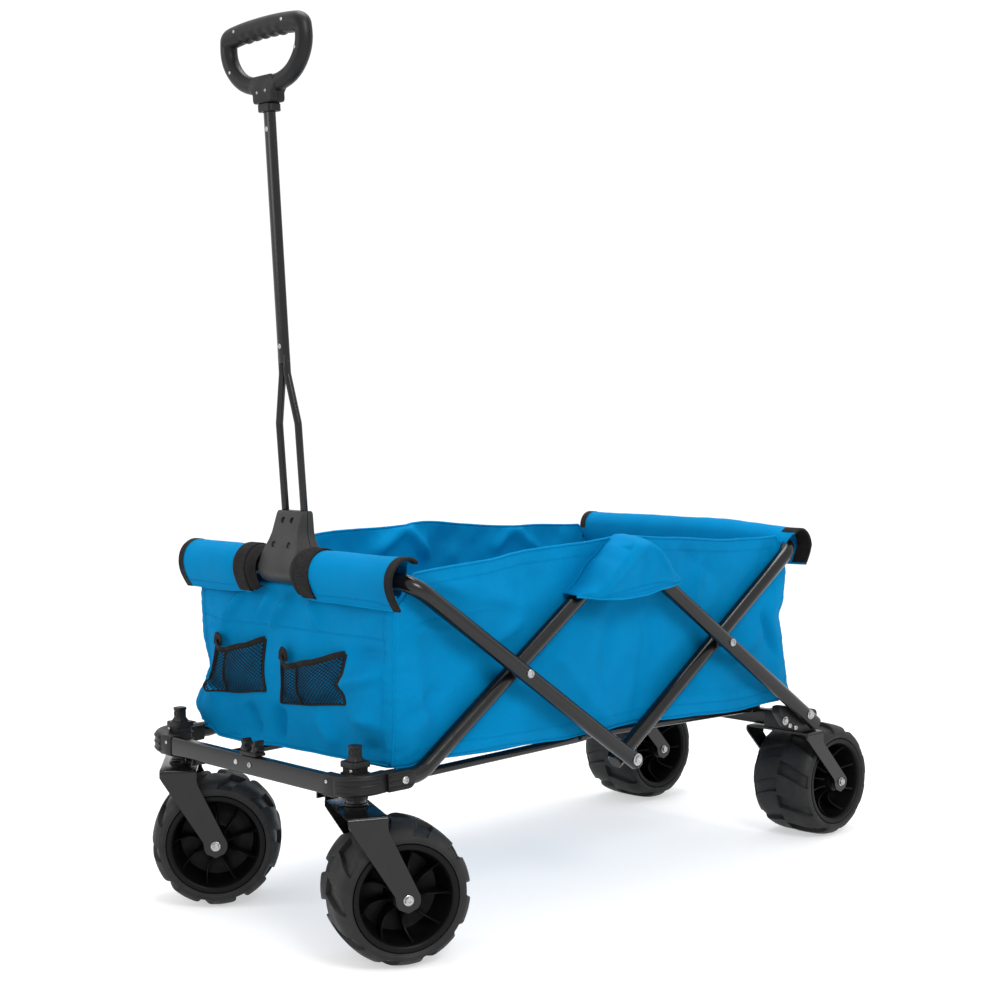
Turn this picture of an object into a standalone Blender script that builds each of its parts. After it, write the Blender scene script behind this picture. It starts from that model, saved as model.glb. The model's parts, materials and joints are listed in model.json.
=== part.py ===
"""Folding all-terrain beach cart: two scissor frames, two swivel casters, two fixed rear
wheels, a fold-down pull handle and a fabric tub. Metres, +Z up, the handle end is at -Y.
The left-hand side of the cart is +X. It stands on z = 0 with its box centred on the origin."""

import math

import bmesh
import bpy
from mathutils import Matrix, Vector

# ---------------------------------------------------------------- driving dimensions
GAP = 0.0004                 # clearance kept between touching pieces
BOX_CENTRE = (0.01465, 0.03950)   # middle of the standing cart, from the scissor centre

WHEEL_R = 0.089              # 178 mm wheel
WHEEL_HALF = 0.0545          # half the tyre's width
RIM_R = 0.068
AXLE_R = 0.004
TRAIL = 0.0495               # caster trail, from swivel axis to axle
SWIVEL_TURN = {1: 24.4, -1: 37.2}   # how far each front caster is turned at rest, degrees
POST_X = {"front": 0.194, "rear": 0.186}
POST_Y = {"front": -0.449, "rear": 0.446}
POST_HALF = 0.013
FORK_TOP = {"front": 0.195, "rear": 0.177}   # top face of the fork's plate
FORK_Y = {"front": (-0.025, 0.025), "rear": (-0.038, 0.003)}   # its length, from the post
FORK_WIDE = 0.0605           # half its width
FORK_PLATE = 0.003
STEM_Y = {"front": 0.0, "rear": -0.0175}     # the fork's stem, from the post

TUBE_R = 0.011               # 22 mm frame tube
OUTER_X = 0.2475             # plane of the outer tubes
INNER_X = 0.2245             # plane of the inner tubes
SPAN = 0.208                 # half the length of one scissor
RISE = 0.143                 # half its height
MID_Z = 0.1984               # bottom middle pivot
TOP_RATIO = 1.925            # top rails sit this many half scissors out from the middle
FRONT_HINGE = (-0.4073, 0.2295)    # (y, z) where the front arms meet the front base
REAR_HINGE = (0.3985, 0.2105)      # (y, z) where the rear arms meet the rear base
CORNER_BEND = 0.030          # bend radius of the top rails' corners
ARM_BEND = 0.045             # bend radius of the front arms
TUBE_PAST = 0.013            # how far a tube runs past its last pivot
REAR_ARM_PAST = 0.032        # the same for a rear arm at the rear base
BOLT_R = 0.003
BAR = {"front": (-0.4735, 0.2248), "rear": (0.4280, 0.1905)}   # (y, z) of the cross bars
BAR_END = {"front": 0.193, "rear": 0.1596}
BAR_DEPTH = 0.015
BAR_HEIGHT = 0.025

FLOOR_ROD_R = 0.006
FLOOR_ROD_X = {"front": 0.147, "rear": 0.1335}
FLOOR_ROD_PIN = {"front": (-0.452, 0.205), "rear": (0.4085, 0.2035)}   # (y, z) of their pins
FLOOR_ROD_MID_Z = 0.2135

TUB_X = 0.209                # inner half width of the tub
TUB_Y = 0.4085
TUB_FLOOR = 0.2395
CLOTH = 0.003
FLAP_LONG = 0.226            # length of a flap over the top middle joint
POCKET_X = {"right": (-0.158, -0.040), "left": (0.001, 0.132)}   # sides of the mesh pockets
SLEEVE_R = 0.031             # outside of the padded sleeves on the top rails
BRACKET_R = 0.025            # barrel of the handle bracket
BRACKET_HALF = 0.036         # half its width
BRACKET_TOP = 0.5485
NOTCH_DROP = 0.034           # depth below the rail of the notch that the bracket turns in
HANDLE_LEAN = math.radians(3.3)
HANDLE_FOOT_Y = -0.4055      # where the tube's lower end stands
HANDLE_TUBE = (0.748, 1.0725)   # heights of the oval tube's ends
GRIP_R = 0.0135
CLIP_X = 0.012               # the handle clip sits off the middle of the cross bar
ROD_X = 0.0205               # the two handle rods stand this far from the middle
ROD_R = 0.005
ROD_FOOT = (-0.3887, 0.516)  # (y, z) of the rods' lower ends
ROD_BEND = (-0.3995, 0.668)  # (y, z) where the rods turn in towards the tube

PIVOT_FRONT = (-SPAN, MID_Z + RISE)
PIVOT_REAR = (SPAN, MID_Z + RISE)
PIVOT_TOP = (0.0, MID_Z + 2 * RISE)
RAIL_Y = SPAN * TOP_RATIO
RAIL_Z = MID_Z + RISE * TOP_RATIO
SIDES = {"left": 1, "right": -1}

COLOURS = {
    "steel": ((0.018, 0.018, 0.020), 0.38, 0.6),
    "plastic": ((0.030, 0.030, 0.032), 0.50, 0.0),
    "grey_plastic": ((0.085, 0.085, 0.088), 0.50, 0.0),
    "tyre": ((0.020, 0.020, 0.021), 0.75, 0.0),
    "bolt": ((0.60, 0.60, 0.62), 0.28, 1.0),
    "fabric": ((0.010, 0.250, 0.600), 0.80, 0.0),
    "mesh": ((0.015, 0.015, 0.016), 0.85, 0.0),
}


# ---------------------------------------------------------------- scene set-up
for old in list(bpy.data.objects):
    bpy.data.objects.remove(old, do_unlink=True)

PARTS = bpy.data.collections.new("Beach cart")
CUTTERS = bpy.data.collections.new("Cutters")
bpy.context.scene.collection.children.link(PARTS)
bpy.context.scene.collection.children.link(CUTTERS)


def make_material(name, colour, roughness, metallic):
    material = bpy.data.materials.new(name)
    material.use_nodes = True
    shader = material.node_tree.nodes["Principled BSDF"]
    shader.inputs["Base Color"].default_value = (*colour, 1.0)
    shader.inputs["Roughness"].default_value = roughness
    shader.inputs["Metallic"].default_value = metallic
    material.diffuse_color = (*colour, 1.0)
    return material


MATERIALS = {name: make_material(name, *values) for name, values in COLOURS.items()}
BODIES = {}


def body(name, location, parent=None):
    """An empty on a moving body's joint axis. Its pieces are parented to it."""
    empty = bpy.data.objects.new("axis_" + name, None)
    empty.empty_display_size = 0.03
    PARTS.objects.link(empty)
    empty.location = location
    if parent:
        empty.parent = BODIES[parent]
        empty.location = Vector(location) - world_place(BODIES[parent])
    BODIES[name] = empty
    return empty


def world_place(empty):
    place = Vector(empty.location)
    while empty.parent:
        empty = empty.parent
        place += empty.location
    return place


def hang(obj, owner):
    """Parents an object, and the tools that cut it, to a body without moving them."""
    obj.parent = BODIES[owner]
    obj.matrix_parent_inverse = Matrix.Translation(-world_place(BODIES[owner]))
    for change in obj.modifiers:
        if change.type == "BOOLEAN":
            hang(change.object, owner)


def finish(obj, material, owner):
    """Gives a piece its material and its body."""
    obj.data.materials.clear()
    obj.data.materials.append(MATERIALS[material])
    hang(obj, owner)
    return obj


# ---------------------------------------------------------------- shapes
def link(name, data, collection=None):
    obj = bpy.data.objects.new(name, data)
    (collection or PARTS).objects.link(obj)
    return obj


def as_cutter(obj):
    for collection in list(obj.users_collection):
        collection.objects.unlink(obj)
    CUTTERS.objects.link(obj)
    obj.hide_render = True
    obj.display_type = "WIRE"
    return obj


def turn_to(axis):
    """Rotation that takes +Z to the axis."""
    return Vector((0, 0, 1)).rotation_difference(Vector(axis)).to_matrix().to_4x4()


def smooth(obj, degrees=40):
    obj.data.shade_smooth()
    obj.data.set_sharp_from_angle(angle=math.radians(degrees))
    return obj


def box(name, low, high, bevel=0.0):
    """A box between two corners, with rounded edges if asked."""
    low, high = Vector(low), Vector(high)
    mesh = bpy.data.meshes.new(name)
    made = bmesh.new()
    bmesh.ops.create_cube(made, size=1.0)
    bmesh.ops.scale(made, vec=high - low, verts=made.verts)
    bmesh.ops.translate(made, vec=(low + high) / 2, verts=made.verts)
    made.to_mesh(mesh)
    made.free()
    obj = link(name, mesh)
    if bevel:
        edge = obj.modifiers.new("Bevel", "BEVEL")
        edge.width = bevel
        edge.segments = 1
    return obj


def cylinder(name, radius, start, end, sides=16):
    """A round bar from start to end."""
    start, end = Vector(start), Vector(end)
    mesh = bpy.data.meshes.new(name)
    made = bmesh.new()
    bmesh.ops.create_cone(made, cap_ends=True, segments=sides, radius1=radius,
                          radius2=radius, depth=(end - start).length)
    made.transform(Matrix.Translation((start + end) / 2) @ turn_to(end - start))
    made.to_mesh(mesh)
    made.free()
    return smooth(link(name, mesh))


def turned(name, profile, place, steps):
    """A profile of (radius, height) points, top to bottom, turned about +Z, then placed."""
    mesh = bpy.data.meshes.new(name)
    points = [(radius, 0.0, height) for radius, height in profile]
    mesh.from_pydata(points, [(i, i + 1) for i in range(len(points) - 1)], [])
    obj = link(name, mesh)
    screw = obj.modifiers.new("Turn", "SCREW")
    screw.steps = steps
    screw.render_steps = steps
    screw.use_merge_vertices = True
    screw.merge_threshold = 1e-5
    screw.use_smooth_shade = True
    obj.matrix_world = place
    return bake(obj)


def bake(obj):
    """Replaces an object by its evaluated mesh in world space, with loose caps welded."""
    bpy.context.view_layer.update()
    graph = bpy.context.evaluated_depsgraph_get()
    mesh = bpy.data.meshes.new_from_object(obj.evaluated_get(graph))
    mesh.transform(obj.matrix_world)
    made = bmesh.new()
    made.from_mesh(mesh)
    bmesh.ops.remove_doubles(made, verts=made.verts, dist=1e-6)
    made.to_mesh(mesh)
    made.free()
    name = obj.name
    bpy.data.objects.remove(obj, do_unlink=True)
    return link(name, mesh)


def tube(name, points, radius, resolution=4, closed=False, flat=1.0):
    """A bar of round section along the points, as a mesh. flat squeezes it along Y."""
    curve = bpy.data.curves.new(name, "CURVE")
    curve.dimensions = "3D"
    curve.bevel_depth = radius
    curve.bevel_resolution = resolution
    curve.use_fill_caps = True
    line = curve.splines.new("POLY")
    line.points.add(len(points) - 1)
    for spot, point in zip(line.points, points):
        spot.co = (*point, 1.0)
    line.use_cyclic_u = closed
    obj = bake(link(name, curve))
    if flat != 1.0:
        middle = Vector(points[0])
        obj.data.transform(Matrix.Translation(middle) @ Matrix.Diagonal((1, flat, 1, 1))
                           @ Matrix.Translation(-middle))
    return smooth(obj)


def plate(name, outline, thickness, place):
    """A flat outline in local X and Y, extruded both ways along local Z, then placed."""
    curve = bpy.data.curves.new(name, "CURVE")
    curve.dimensions = "2D"
    curve.fill_mode = "BOTH"
    curve.extrude = thickness / 2
    line = curve.splines.new("POLY")
    line.points.add(len(outline) - 1)
    for spot, point in zip(line.points, outline):
        spot.co = (*point, 0.0, 1.0)
    line.use_cyclic_u = True
    obj = link(name, curve)
    obj.matrix_world = place
    return bake(obj)


def arc(centre, radius, first, last, steps):
    """Points on a circle, from one angle to another in degrees."""
    angles = [math.radians(first + (last - first) * i / steps) for i in range(steps + 1)]
    return [(centre[0] + radius * math.cos(a), centre[1] + radius * math.sin(a)) for a in angles]


def rounded(corners, radius, steps=5):
    """The corners of a path with each inner one replaced by a bend."""
    points = [Vector(corners[0])]
    for before, corner, after in zip(corners, corners[1:], corners[2:]):
        corner = Vector(corner)
        back = (Vector(before) - corner).normalized()
        ahead = (Vector(after) - corner).normalized()
        half = back.angle(ahead) / 2
        reach = radius / math.tan(half)
        centre = corner + (back + ahead).normalized() * (radius / math.sin(half))
        start = corner + back * reach - centre
        stop = corner + ahead * reach - centre
        sweep = start.angle(stop)
        for i in range(steps + 1):
            share = i / steps
            mix = start * math.sin((1 - share) * sweep) + stop * math.sin(share * sweep)
            points.append(centre + mix / math.sin(sweep))
    points.append(Vector(corners[-1]))
    return points


YZ = Matrix(((0, 0, 1, 0), (1, 0, 0, 0), (0, 1, 0, 0), (0, 0, 0, 1)))   # local X, Y to Y, Z
XZ = Matrix(((1, 0, 0, 0), (0, 0, -1, 0), (0, 1, 0, 0), (0, 0, 0, 1)))  # local X, Y to X, Z


def boolean(target, tool, operation):
    as_cutter(tool)
    change = target.modifiers.new(operation.title(), "BOOLEAN")
    change.operation = operation
    change.solver = "EXACT"
    change.object = tool
    return target


def cut(target, tool):
    return boolean(target, tool, "DIFFERENCE")


def join(target, tool):
    return boolean(target, tool, "UNION")


def bore_x(target, name, radius, y, z, low, high):
    """A round hole along X."""
    return cut(target, cylinder(name, radius, (low, y, z), (high, y, z)))


# ---------------------------------------------------------------- bodies on their axes
def make_bodies():
    body("cart", (0, 0, 0))
    body("front_base", (0, 0, 0), "cart")
    for side, sign in SIDES.items():
        body("swivel_" + side, (sign * POST_X["front"], POST_Y["front"], FORK_TOP["front"]),
             "front_base")
        body("front_wheel_" + side, front_wheel_place(sign) @ Vector((0, 0, 0)), "swivel_" + side)
        body("caster_button_" + side, (sign * POST_X["front"], POST_Y["front"], 0.26), "front_base")
    body("front_arms", (0, *FRONT_HINGE), "front_base")
    body("front_frame", (0, *PIVOT_FRONT), "front_arms")
    body("rear_frame", (0, 0, MID_Z), "front_frame")
    body("rear_arms", (0, *PIVOT_REAR), "rear_frame")
    body("rear_base", (0, *REAR_HINGE), "rear_arms")
    body("flaps", (0, *PIVOT_TOP), "front_arms")
    body("tub", (0, -RAIL_Y, RAIL_Z), "front_frame")
    body("tub_rear_wall", (0, RAIL_Y, RAIL_Z), "rear_frame")
    body("handle", (0, -RAIL_Y, RAIL_Z), "tub")
    body("front_floor_rods", (0, *FLOOR_ROD_PIN["front"]), "front_base")
    body("rear_floor_rods", (0, *FLOOR_ROD_PIN["rear"]), "rear_base")
    for side, sign in SIDES.items():
        body("rear_wheel_" + side, rear_wheel_place(sign) @ Vector((0, 0, 0)), "rear_base")


# ---------------------------------------------------------------- casters and wheels
def swivel_place(sign):
    """Frame of a front fork: Y runs along the trail, X along the axle, on the swivel axis."""
    turn = Matrix.Rotation(-math.radians(SWIVEL_TURN[sign]), 4, "Z")
    return Matrix.Translation((sign * POST_X["front"], POST_Y["front"], 0)) @ turn


def front_wheel_place(sign):
    return swivel_place(sign) @ Matrix.Translation((0, TRAIL, WHEEL_R))


def rear_wheel_place(sign):
    return Matrix.Translation((sign * POST_X["rear"], POST_Y["rear"] + TRAIL, WHEEL_R))


def fork(end, side, place, owner, stem_top, bearing=0.0):
    """Sheet fork: a top plate, two trailing legs, a round stem and a bearing of that height."""
    name = f"{'caster' if end == 'front' else 'rear'}_fork_{side}"
    plate_top, stem_y = FORK_TOP[end], STEM_Y[end]
    near, far = FORK_Y[end]
    top = box(name, (-FORK_WIDE, near, plate_top - FORK_PLATE), (FORK_WIDE, far, plate_top))
    leg = [(near, plate_top), (near, plate_top - 0.009)]
    leg += arc((TRAIL, WHEEL_R), 0.016, 205, 385, 6)
    leg += [(far, plate_top - 0.018), (far, plate_top)]
    for label, sign in SIDES.items():
        where = Matrix.Translation((sign * (FORK_WIDE - FORK_PLATE / 2), 0, 0)) @ YZ
        join(top, plate(f"{name}_leg_{label}", leg, FORK_PLATE, where))
    bore_x(top, name + "_axle_hole", AXLE_R + GAP, TRAIL, WHEEL_R, -0.07, 0.07)
    foot = Vector((0, stem_y, plate_top - 0.001))
    join(top, cylinder(name + "_stem", 0.006, foot, (0, stem_y, stem_top), 12))
    if bearing:
        for radius, height in ((0.0145, 0.0055), (0.0125, bearing)):
            join(top, cylinder(f"{name}_bearing_{height}", radius, foot,
                               (0, stem_y, plate_top + height), 16))
    top = bake(top)
    top.data.transform(place)
    return finish(top, "steel", owner)


def axle(name, place, owner):
    """Wheel bolt with a head on each end."""
    end, head = FORK_WIDE + GAP, 0.0655
    profile = [(0, head), (0.0055, head), (0.0065, head - 0.0015), (0.0065, end), (AXLE_R, end)]
    profile += [(radius, -height) for radius, height in reversed(profile)]
    finish(turned(name, profile, place @ Matrix.Rotation(math.pi / 2, 4, "Y"), 12), "bolt", owner)


def wheel(label, place, owner):
    """A plastic rim with a hub and a dished web, and a wide rubber tyre."""
    across = place @ Matrix.Rotation(math.pi / 2, 4, "Y")
    bore, hub, hub_half = AXLE_R + GAP, 0.017, 0.052
    inside, outside, lip = 0.060, RIM_R - GAP, 0.053
    profile = [(bore, hub_half), (hub, hub_half), (hub + 0.004, 0.012), (inside - 0.003, 0.012),
               (inside, lip), (outside, lip)]
    profile += [(radius, -height) for radius, height in reversed(profile)]
    finish(turned("rim_" + label, ring(profile), across, 24), "plastic", owner)
    tread = [(RIM_R, lip), (0.0725, WHEEL_HALF), (0.079, 0.0535), (0.0855, 0.046),
             (WHEEL_R, 0.034)]
    tread += [(radius, -height) for radius, height in reversed(tread)]
    finish(turned("tyre_" + label, ring(tread), across, 36), "tyre", owner)


def ring(profile):
    """Closes a profile that doesn't reach the axis."""
    return profile + [profile[0]]


def make_casters():
    for side, sign in SIDES.items():
        fork("front", side, swivel_place(sign), "swivel_" + side, 0.232, 0.0101)
        axle("front_axle_" + side, front_wheel_place(sign), "swivel_" + side)
        wheel("front_" + side, front_wheel_place(sign), "front_wheel_" + side)
        still = Matrix.Translation((sign * POST_X["rear"], POST_Y["rear"], 0))
        fork("rear", side, still, "rear_base", 0.199)
        axle("rear_axle_" + side, rear_wheel_place(sign), "rear_base")
        wheel("rear_" + side, rear_wheel_place(sign), "rear_wheel_" + side)


# ---------------------------------------------------------------- front and rear bases
def bolt(name, pivot, low, high, sign):
    """Bolt along X with its head on the outside of the cart."""
    y, z = pivot
    head = 0.0068
    profile = [(0, high + 0.0035), (head - 0.0015, high + 0.0035), (head, high + 0.002),
               (head, high + GAP), (BOLT_R, high + GAP), (BOLT_R, low), (0, low)]
    place = Matrix.Translation((0, y, z)) @ turn_to((sign, 0, 0))
    return turned(name, profile, place, 12)


def floor_lug(bar, name, x, y, z, toward):
    """Two ears and a pin on a cross bar that hold one floor rod."""
    for label, offset in (("a", -0.0085), ("b", 0.0085)):
        low = (x + offset - 0.0015, min(y - 0.006, y - 0.017 * toward), z - 0.006)
        high = (x + offset + 0.0015, max(y + 0.006, y - 0.017 * toward), z + 0.012)
        join(bar, box(name + "_ear_" + label, low, high))
    join(bar, cylinder(name + "_pin", 0.002, (x - 0.008, y, z), (x + 0.008, y, z), 8))


def cross_bar(end, owner):
    """Rectangular bar between the two corners of one end, with the floor rods' lugs."""
    y, z = BAR[end]
    reach = BAR_END[end]
    low = (-reach, y - BAR_DEPTH / 2, z - BAR_HEIGHT / 2)
    high = (reach, y + BAR_DEPTH / 2, z + BAR_HEIGHT / 2)
    bar = box(end + "_cross_bar", low, high, 0.002)
    toward = 1 if end == "front" else -1
    for side, sign in SIDES.items():
        floor_lug(bar, f"{end}_lug_{side}", sign * FLOOR_ROD_X[end], *FLOOR_ROD_PIN[end],
                  toward)
    finish(bar, "steel", owner)


def front_post(side, sign):
    """Post that takes a caster's stem, with a flange on top and a well for its button."""
    x, y = sign * POST_X["front"], POST_Y["front"]
    foot, top = FORK_TOP["front"] + 0.0105, 0.247
    name = "front_corner_" + side
    post = box(name, (x - POST_HALF, y - POST_HALF, foot), (x + POST_HALF, y + POST_HALF, top))
    flange = POST_HALF + 0.0025
    join(post, box(name + "_flange", (x - flange, y - flange, top - 0.001),
                   (x + flange, y + flange, top + 0.006), 0.0015))
    cut(post, cylinder(name + "_bore", 0.0065, (x, y, foot - 0.01), (x, y, 0.234), 12))
    cut(post, cylinder(name + "_well", 0.0095, (x, y, 0.244), (x, y, 0.26), 16))
    finish(post, "plastic", "front_base")


def release_button(side, sign):
    """Push button on top of a caster post."""
    x, y = sign * POST_X["front"], POST_Y["front"]
    profile = [(0, 0.2725), (0.0075, 0.2725), (0.009, 0.2710), (0.009, 0.2512), (0, 0.2512)]
    place = Matrix.Translation((x, y, 0))
    finish(turned("caster_button_" + side, profile, place, 20), "plastic", "caster_button_" + side)


def front_bracket(side, sign):
    """Ribbed bracket beside the front post, with the bolt that holds a front arm's end."""
    name = "front_side_bracket_" + side
    hinge_y, hinge_z = FRONT_HINGE
    inner = POST_X["front"] + POST_HALF + GAP
    tongue, outer = INNER_X - TUBE_R - GAP, INNER_X + TUBE_R
    near, far = POST_Y["front"] - 0.0165, hinge_y - 0.0185
    low_z, high_z = hinge_z - 0.0135, hinge_z + 0.0135
    bracket = box(name, (inner, near, low_z), (outer, far, high_z), 0.002)
    join(bracket, box(name + "_tongue", (TUB_X + 2 * GAP, near, low_z + 0.001),
                      (tongue, hinge_y + 0.012, TUB_FLOOR - GAP)))
    rib = 0.0015
    for level in (-0.008, 0.0, 0.008):
        join(bracket, box(f"{name}_rib_{level}", (INNER_X, near + 2 * rib, hinge_z + level - rib),
                          (outer + rib, far - 2 * rib, hinge_z + level + rib)))
    join(bracket, bolt(name + "_bolt", FRONT_HINGE, tongue - 0.006, outer, 1))
    bracket = bake(bracket)
    if sign < 0:
        mirror_x(bracket)
    finish(bracket, "plastic", "front_base")


def rear_corner(side, sign):
    """Block between the cross bar, the fork and the rear arm, with the bolt that holds the arm."""
    name = "rear_corner_" + side
    foot, inside = FORK_TOP["rear"] + GAP, BAR_END["rear"] + GAP
    outside = OUTER_X - TUBE_R - GAP
    near, far = (POST_Y["rear"] + offset for offset in FORK_Y["rear"])
    block = box(name, (inside, near, foot), (outside - 0.010, far, foot + 0.0285), 0.001)
    outline = [(0.3495, 0.2150), (0.3700, 0.1900), (near, foot), (0.4475, foot), (0.4475, 0.2065),
               (0.4430, 0.2110), (0.3620, 0.2262), (0.3495, 0.2262)]
    middle = outside - 0.008
    join(block, plate(name + "_side", outline, 0.016, Matrix.Translation((middle, 0, 0)) @ YZ))
    join(block, bolt(name + "_bolt", REAR_HINGE, outside - 0.006, OUTER_X + TUBE_R, 1))
    stem_y = POST_Y["rear"] + STEM_Y["rear"]
    cut(block, cylinder(name + "_bore", 0.0065, (POST_X["rear"], stem_y, foot - 0.01),
                        (POST_X["rear"], stem_y, 0.201), 12))
    block = bake(block)
    if sign < 0:
        mirror_x(block)
    finish(block, "plastic", "rear_base")


def mirror_x(obj):
    """Mirrors a mesh across the cart's middle plane and turns its faces back."""
    obj.data.transform(Matrix.Diagonal((-1, 1, 1, 1)))
    obj.data.flip_normals()


def handle_clip():
    """Two-pronged clip on the front cross bar that holds the stowed handle."""
    y, z = BAR["front"]
    top = z + BAR_HEIGHT / 2
    base = box("handle_clip", (CLIP_X - 0.018, y - 0.009, top + GAP),
               (CLIP_X + 0.018, y + 0.009, top + 0.005))
    for label, x in (("a", CLIP_X - 0.0145), ("b", CLIP_X + 0.0145)):
        join(base, box("handle_clip_prong_" + label, (x - 0.0035, y - 0.007, top + 0.004),
                       (x + 0.0035, y + 0.007, top + 0.021)))
    finish(base, "plastic", "front_base")


def make_bases():
    cross_bar("front", "front_base")
    cross_bar("rear", "rear_base")
    for side, sign in SIDES.items():
        front_post(side, sign)
        front_bracket(side, sign)
        rear_corner(side, sign)
        release_button(side, sign)
    handle_clip()


# ---------------------------------------------------------------- scissor frames
def beyond(start, end, extra):
    """The end of a bar that runs past its last pivot."""
    way = (Vector(end) - Vector(start)).normalized()
    return Vector(end) + way * extra


def drill(obj, name, pivots, plane):
    for number, (y, z) in enumerate(pivots):
        low, high = sorted((plane - 0.02, plane + 0.02))
        bore_x(obj, f"{name}_hole_{number}", BOLT_R + GAP, y, z, low, high)


def top_frame(name, rail_y, plane, pivot, owner):
    """U of tube: a top rail across the cart and a leg down each side to the middle pivot."""
    foot = beyond((0, *pivot), (0, 0, MID_Z), TUBE_PAST)
    corners = [(plane, foot.y, foot.z), (plane, rail_y, RAIL_Z), (-plane, rail_y, RAIL_Z),
               (-plane, foot.y, foot.z)]
    frame = tube(name, rounded(corners, CORNER_BEND), TUBE_R)
    for side, sign in SIDES.items():
        drill(frame, f"{name}_{side}", [pivot, (0, MID_Z)], sign * plane)
    finish(frame, "steel", owner)


def front_arm(side, sign):
    """Inner arm: it leaves the base level, bends up and runs to the top middle pivot."""
    y, z = FRONT_HINGE
    top = beyond((0, *PIVOT_FRONT), (0, *PIVOT_TOP), TUBE_PAST)
    x = sign * INNER_X
    slope = (PIVOT_TOP[1] - PIVOT_FRONT[1]) / SPAN
    bend = PIVOT_FRONT[0] - (PIVOT_FRONT[1] - z) / slope
    corners = [(x, y - TUBE_PAST, z), (x, bend, z), (x, top.y, top.z)]
    arm = tube("front_arm_" + side, rounded(corners, ARM_BEND), TUBE_R)
    drill(arm, "front_arm_" + side, [FRONT_HINGE, PIVOT_FRONT, PIVOT_TOP], x)
    finish(arm, "steel", "front_arms")


def rear_arm(side, sign):
    """Outer arm with the fixed top bolt: from the top middle pivot down to the rear base."""
    x = sign * OUTER_X
    top = beyond((0, *PIVOT_REAR), (0, *PIVOT_TOP), TUBE_PAST)
    foot = beyond((0, *PIVOT_REAR), (0, *REAR_HINGE), REAR_ARM_PAST)
    points = [(x, top.y, top.z), (x, *PIVOT_REAR), (x, foot.y, foot.z)]
    arm = tube("rear_arm_" + side, points, TUBE_R)
    drill(arm, "rear_arm_" + side, [PIVOT_REAR, REAR_HINGE], x)
    inside = INNER_X - TUBE_R - 0.001
    join(arm, bolt("top_bolt_" + side, PIVOT_TOP, inside, OUTER_X + TUBE_R - 0.001, sign))
    finish(arm, "steel", "rear_arms")


def middle_tube():
    """Cross tube between the bottom middle pivots, with a bolt head at each end."""
    shoulder = INNER_X - TUBE_R - GAP
    end = OUTER_X + TUBE_R + GAP
    profile = [(0, end + 0.0035), (0.0055, end + 0.0035), (0.0068, end + 0.002), (0.0068, end),
               (BOLT_R, end), (BOLT_R, shoulder), (0.0075, shoulder)]
    profile += [(radius, -height) for radius, height in reversed(profile)]
    place = Matrix.Translation((0, 0, MID_Z)) @ Matrix.Rotation(math.pi / 2, 4, "Y")
    finish(turned("middle_tube", profile, place, 12), "steel", "front_frame")


def floor_rod(end, side, sign):
    """Half of a folding rod under the tub, from its lug to the middle."""
    x = sign * FLOOR_ROD_X[end]
    pin = Vector((x, *FLOOR_ROD_PIN[end]))
    middle = Vector((x, 0, FLOOR_ROD_MID_Z))
    way = (middle - pin).normalized()
    points = [pin - way * 0.006, middle + way * 0.012]
    rod = tube(f"floor_rod_{end}_{side}", points, FLOOR_ROD_R, 2)
    bore_x(rod, f"floor_rod_{end}_{side}_eye", 0.0025, pin.y, pin.z, x - 0.02, x + 0.02)
    finish(rod, "steel", end + "_floor_rods")


def make_frames():
    top_frame("front_top_frame", -RAIL_Y, OUTER_X, PIVOT_FRONT, "front_frame")
    top_frame("rear_top_frame", RAIL_Y, INNER_X, PIVOT_REAR, "rear_frame")
    middle_tube()
    inside, outside = INNER_X - TUBE_R - 0.001, OUTER_X + TUBE_R
    for side, sign in SIDES.items():
        front_arm(side, sign)
        rear_arm(side, sign)
        finish(bolt("front_cross_bolt_" + side, PIVOT_FRONT, inside, outside, sign), "bolt",
               "front_arms")
        finish(bolt("rear_cross_bolt_" + side, PIVOT_REAR, inside, outside, sign), "bolt",
               "rear_frame")
        for end in ("front", "rear"):
            floor_rod(end, side, sign)


# ---------------------------------------------------------------- pull handle
def handle_axis(height):
    """A point on the handle's centre line at that height."""
    return Vector((0, HANDLE_FOOT_Y - (height - HANDLE_TUBE[0]) * math.tan(HANDLE_LEAN), height))


def handle_bracket():
    """Two shells that wrap the front rail and clamp the two handle rods."""
    y, z = -RAIL_Y, RAIL_Z
    outline = arc((y, z), BRACKET_R, 160, 360, 12)
    outline += [(-0.3825, BRACKET_TOP), (-0.3995, BRACKET_TOP)]
    halves = {"front": (-0.50, -0.391), "rear": (-0.391 + GAP, -0.30)}
    for name, (low, high) in halves.items():
        shell = plate(f"handle_bracket_{name}", outline, 2 * BRACKET_HALF, YZ)
        bore_x(shell, f"bracket_bore_{name}", TUBE_R + GAP, y, z, -0.05, 0.05)
        for side, sign in SIDES.items():
            foot = Vector((sign * ROD_X, *ROD_FOOT))
            way = (Vector((sign * ROD_X, *ROD_BEND)) - foot).normalized()
            cut(shell, cylinder(f"bracket_{name}_socket_{side}", ROD_R + GAP,
                                foot - way * 0.001, foot + way * 0.045))
            top_x = sorted((sign * 0.030, sign * 0.05))
            cut(shell, box(f"bracket_{name}_taper_{side}", (top_x[0], -0.5, RAIL_Z + 0.027),
                           (top_x[1], -0.3, 0.56)))
        keep = box(f"bracket_{name}_keep", (-0.1, low, 0.4), (0.1, high, 0.6))
        shell = boolean(shell, keep, "INTERSECT")
        finish(shell, "grey_plastic", "handle")


def handle_rods():
    for side, sign in SIDES.items():
        low = Vector((sign * ROD_X, *ROD_FOOT))
        bend = Vector((sign * ROD_X, *ROD_BEND))
        top = handle_axis(HANDLE_TUBE[0] - GAP) + Vector((sign * 0.0054, 0, 0))
        neck = top - Vector((0, -0.0006, 0.012))
        points = rounded([low, bend, neck, top], 0.012, 3)
        finish(tube("handle_rod_" + side, points, ROD_R, 2), "steel", "handle")


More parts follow.
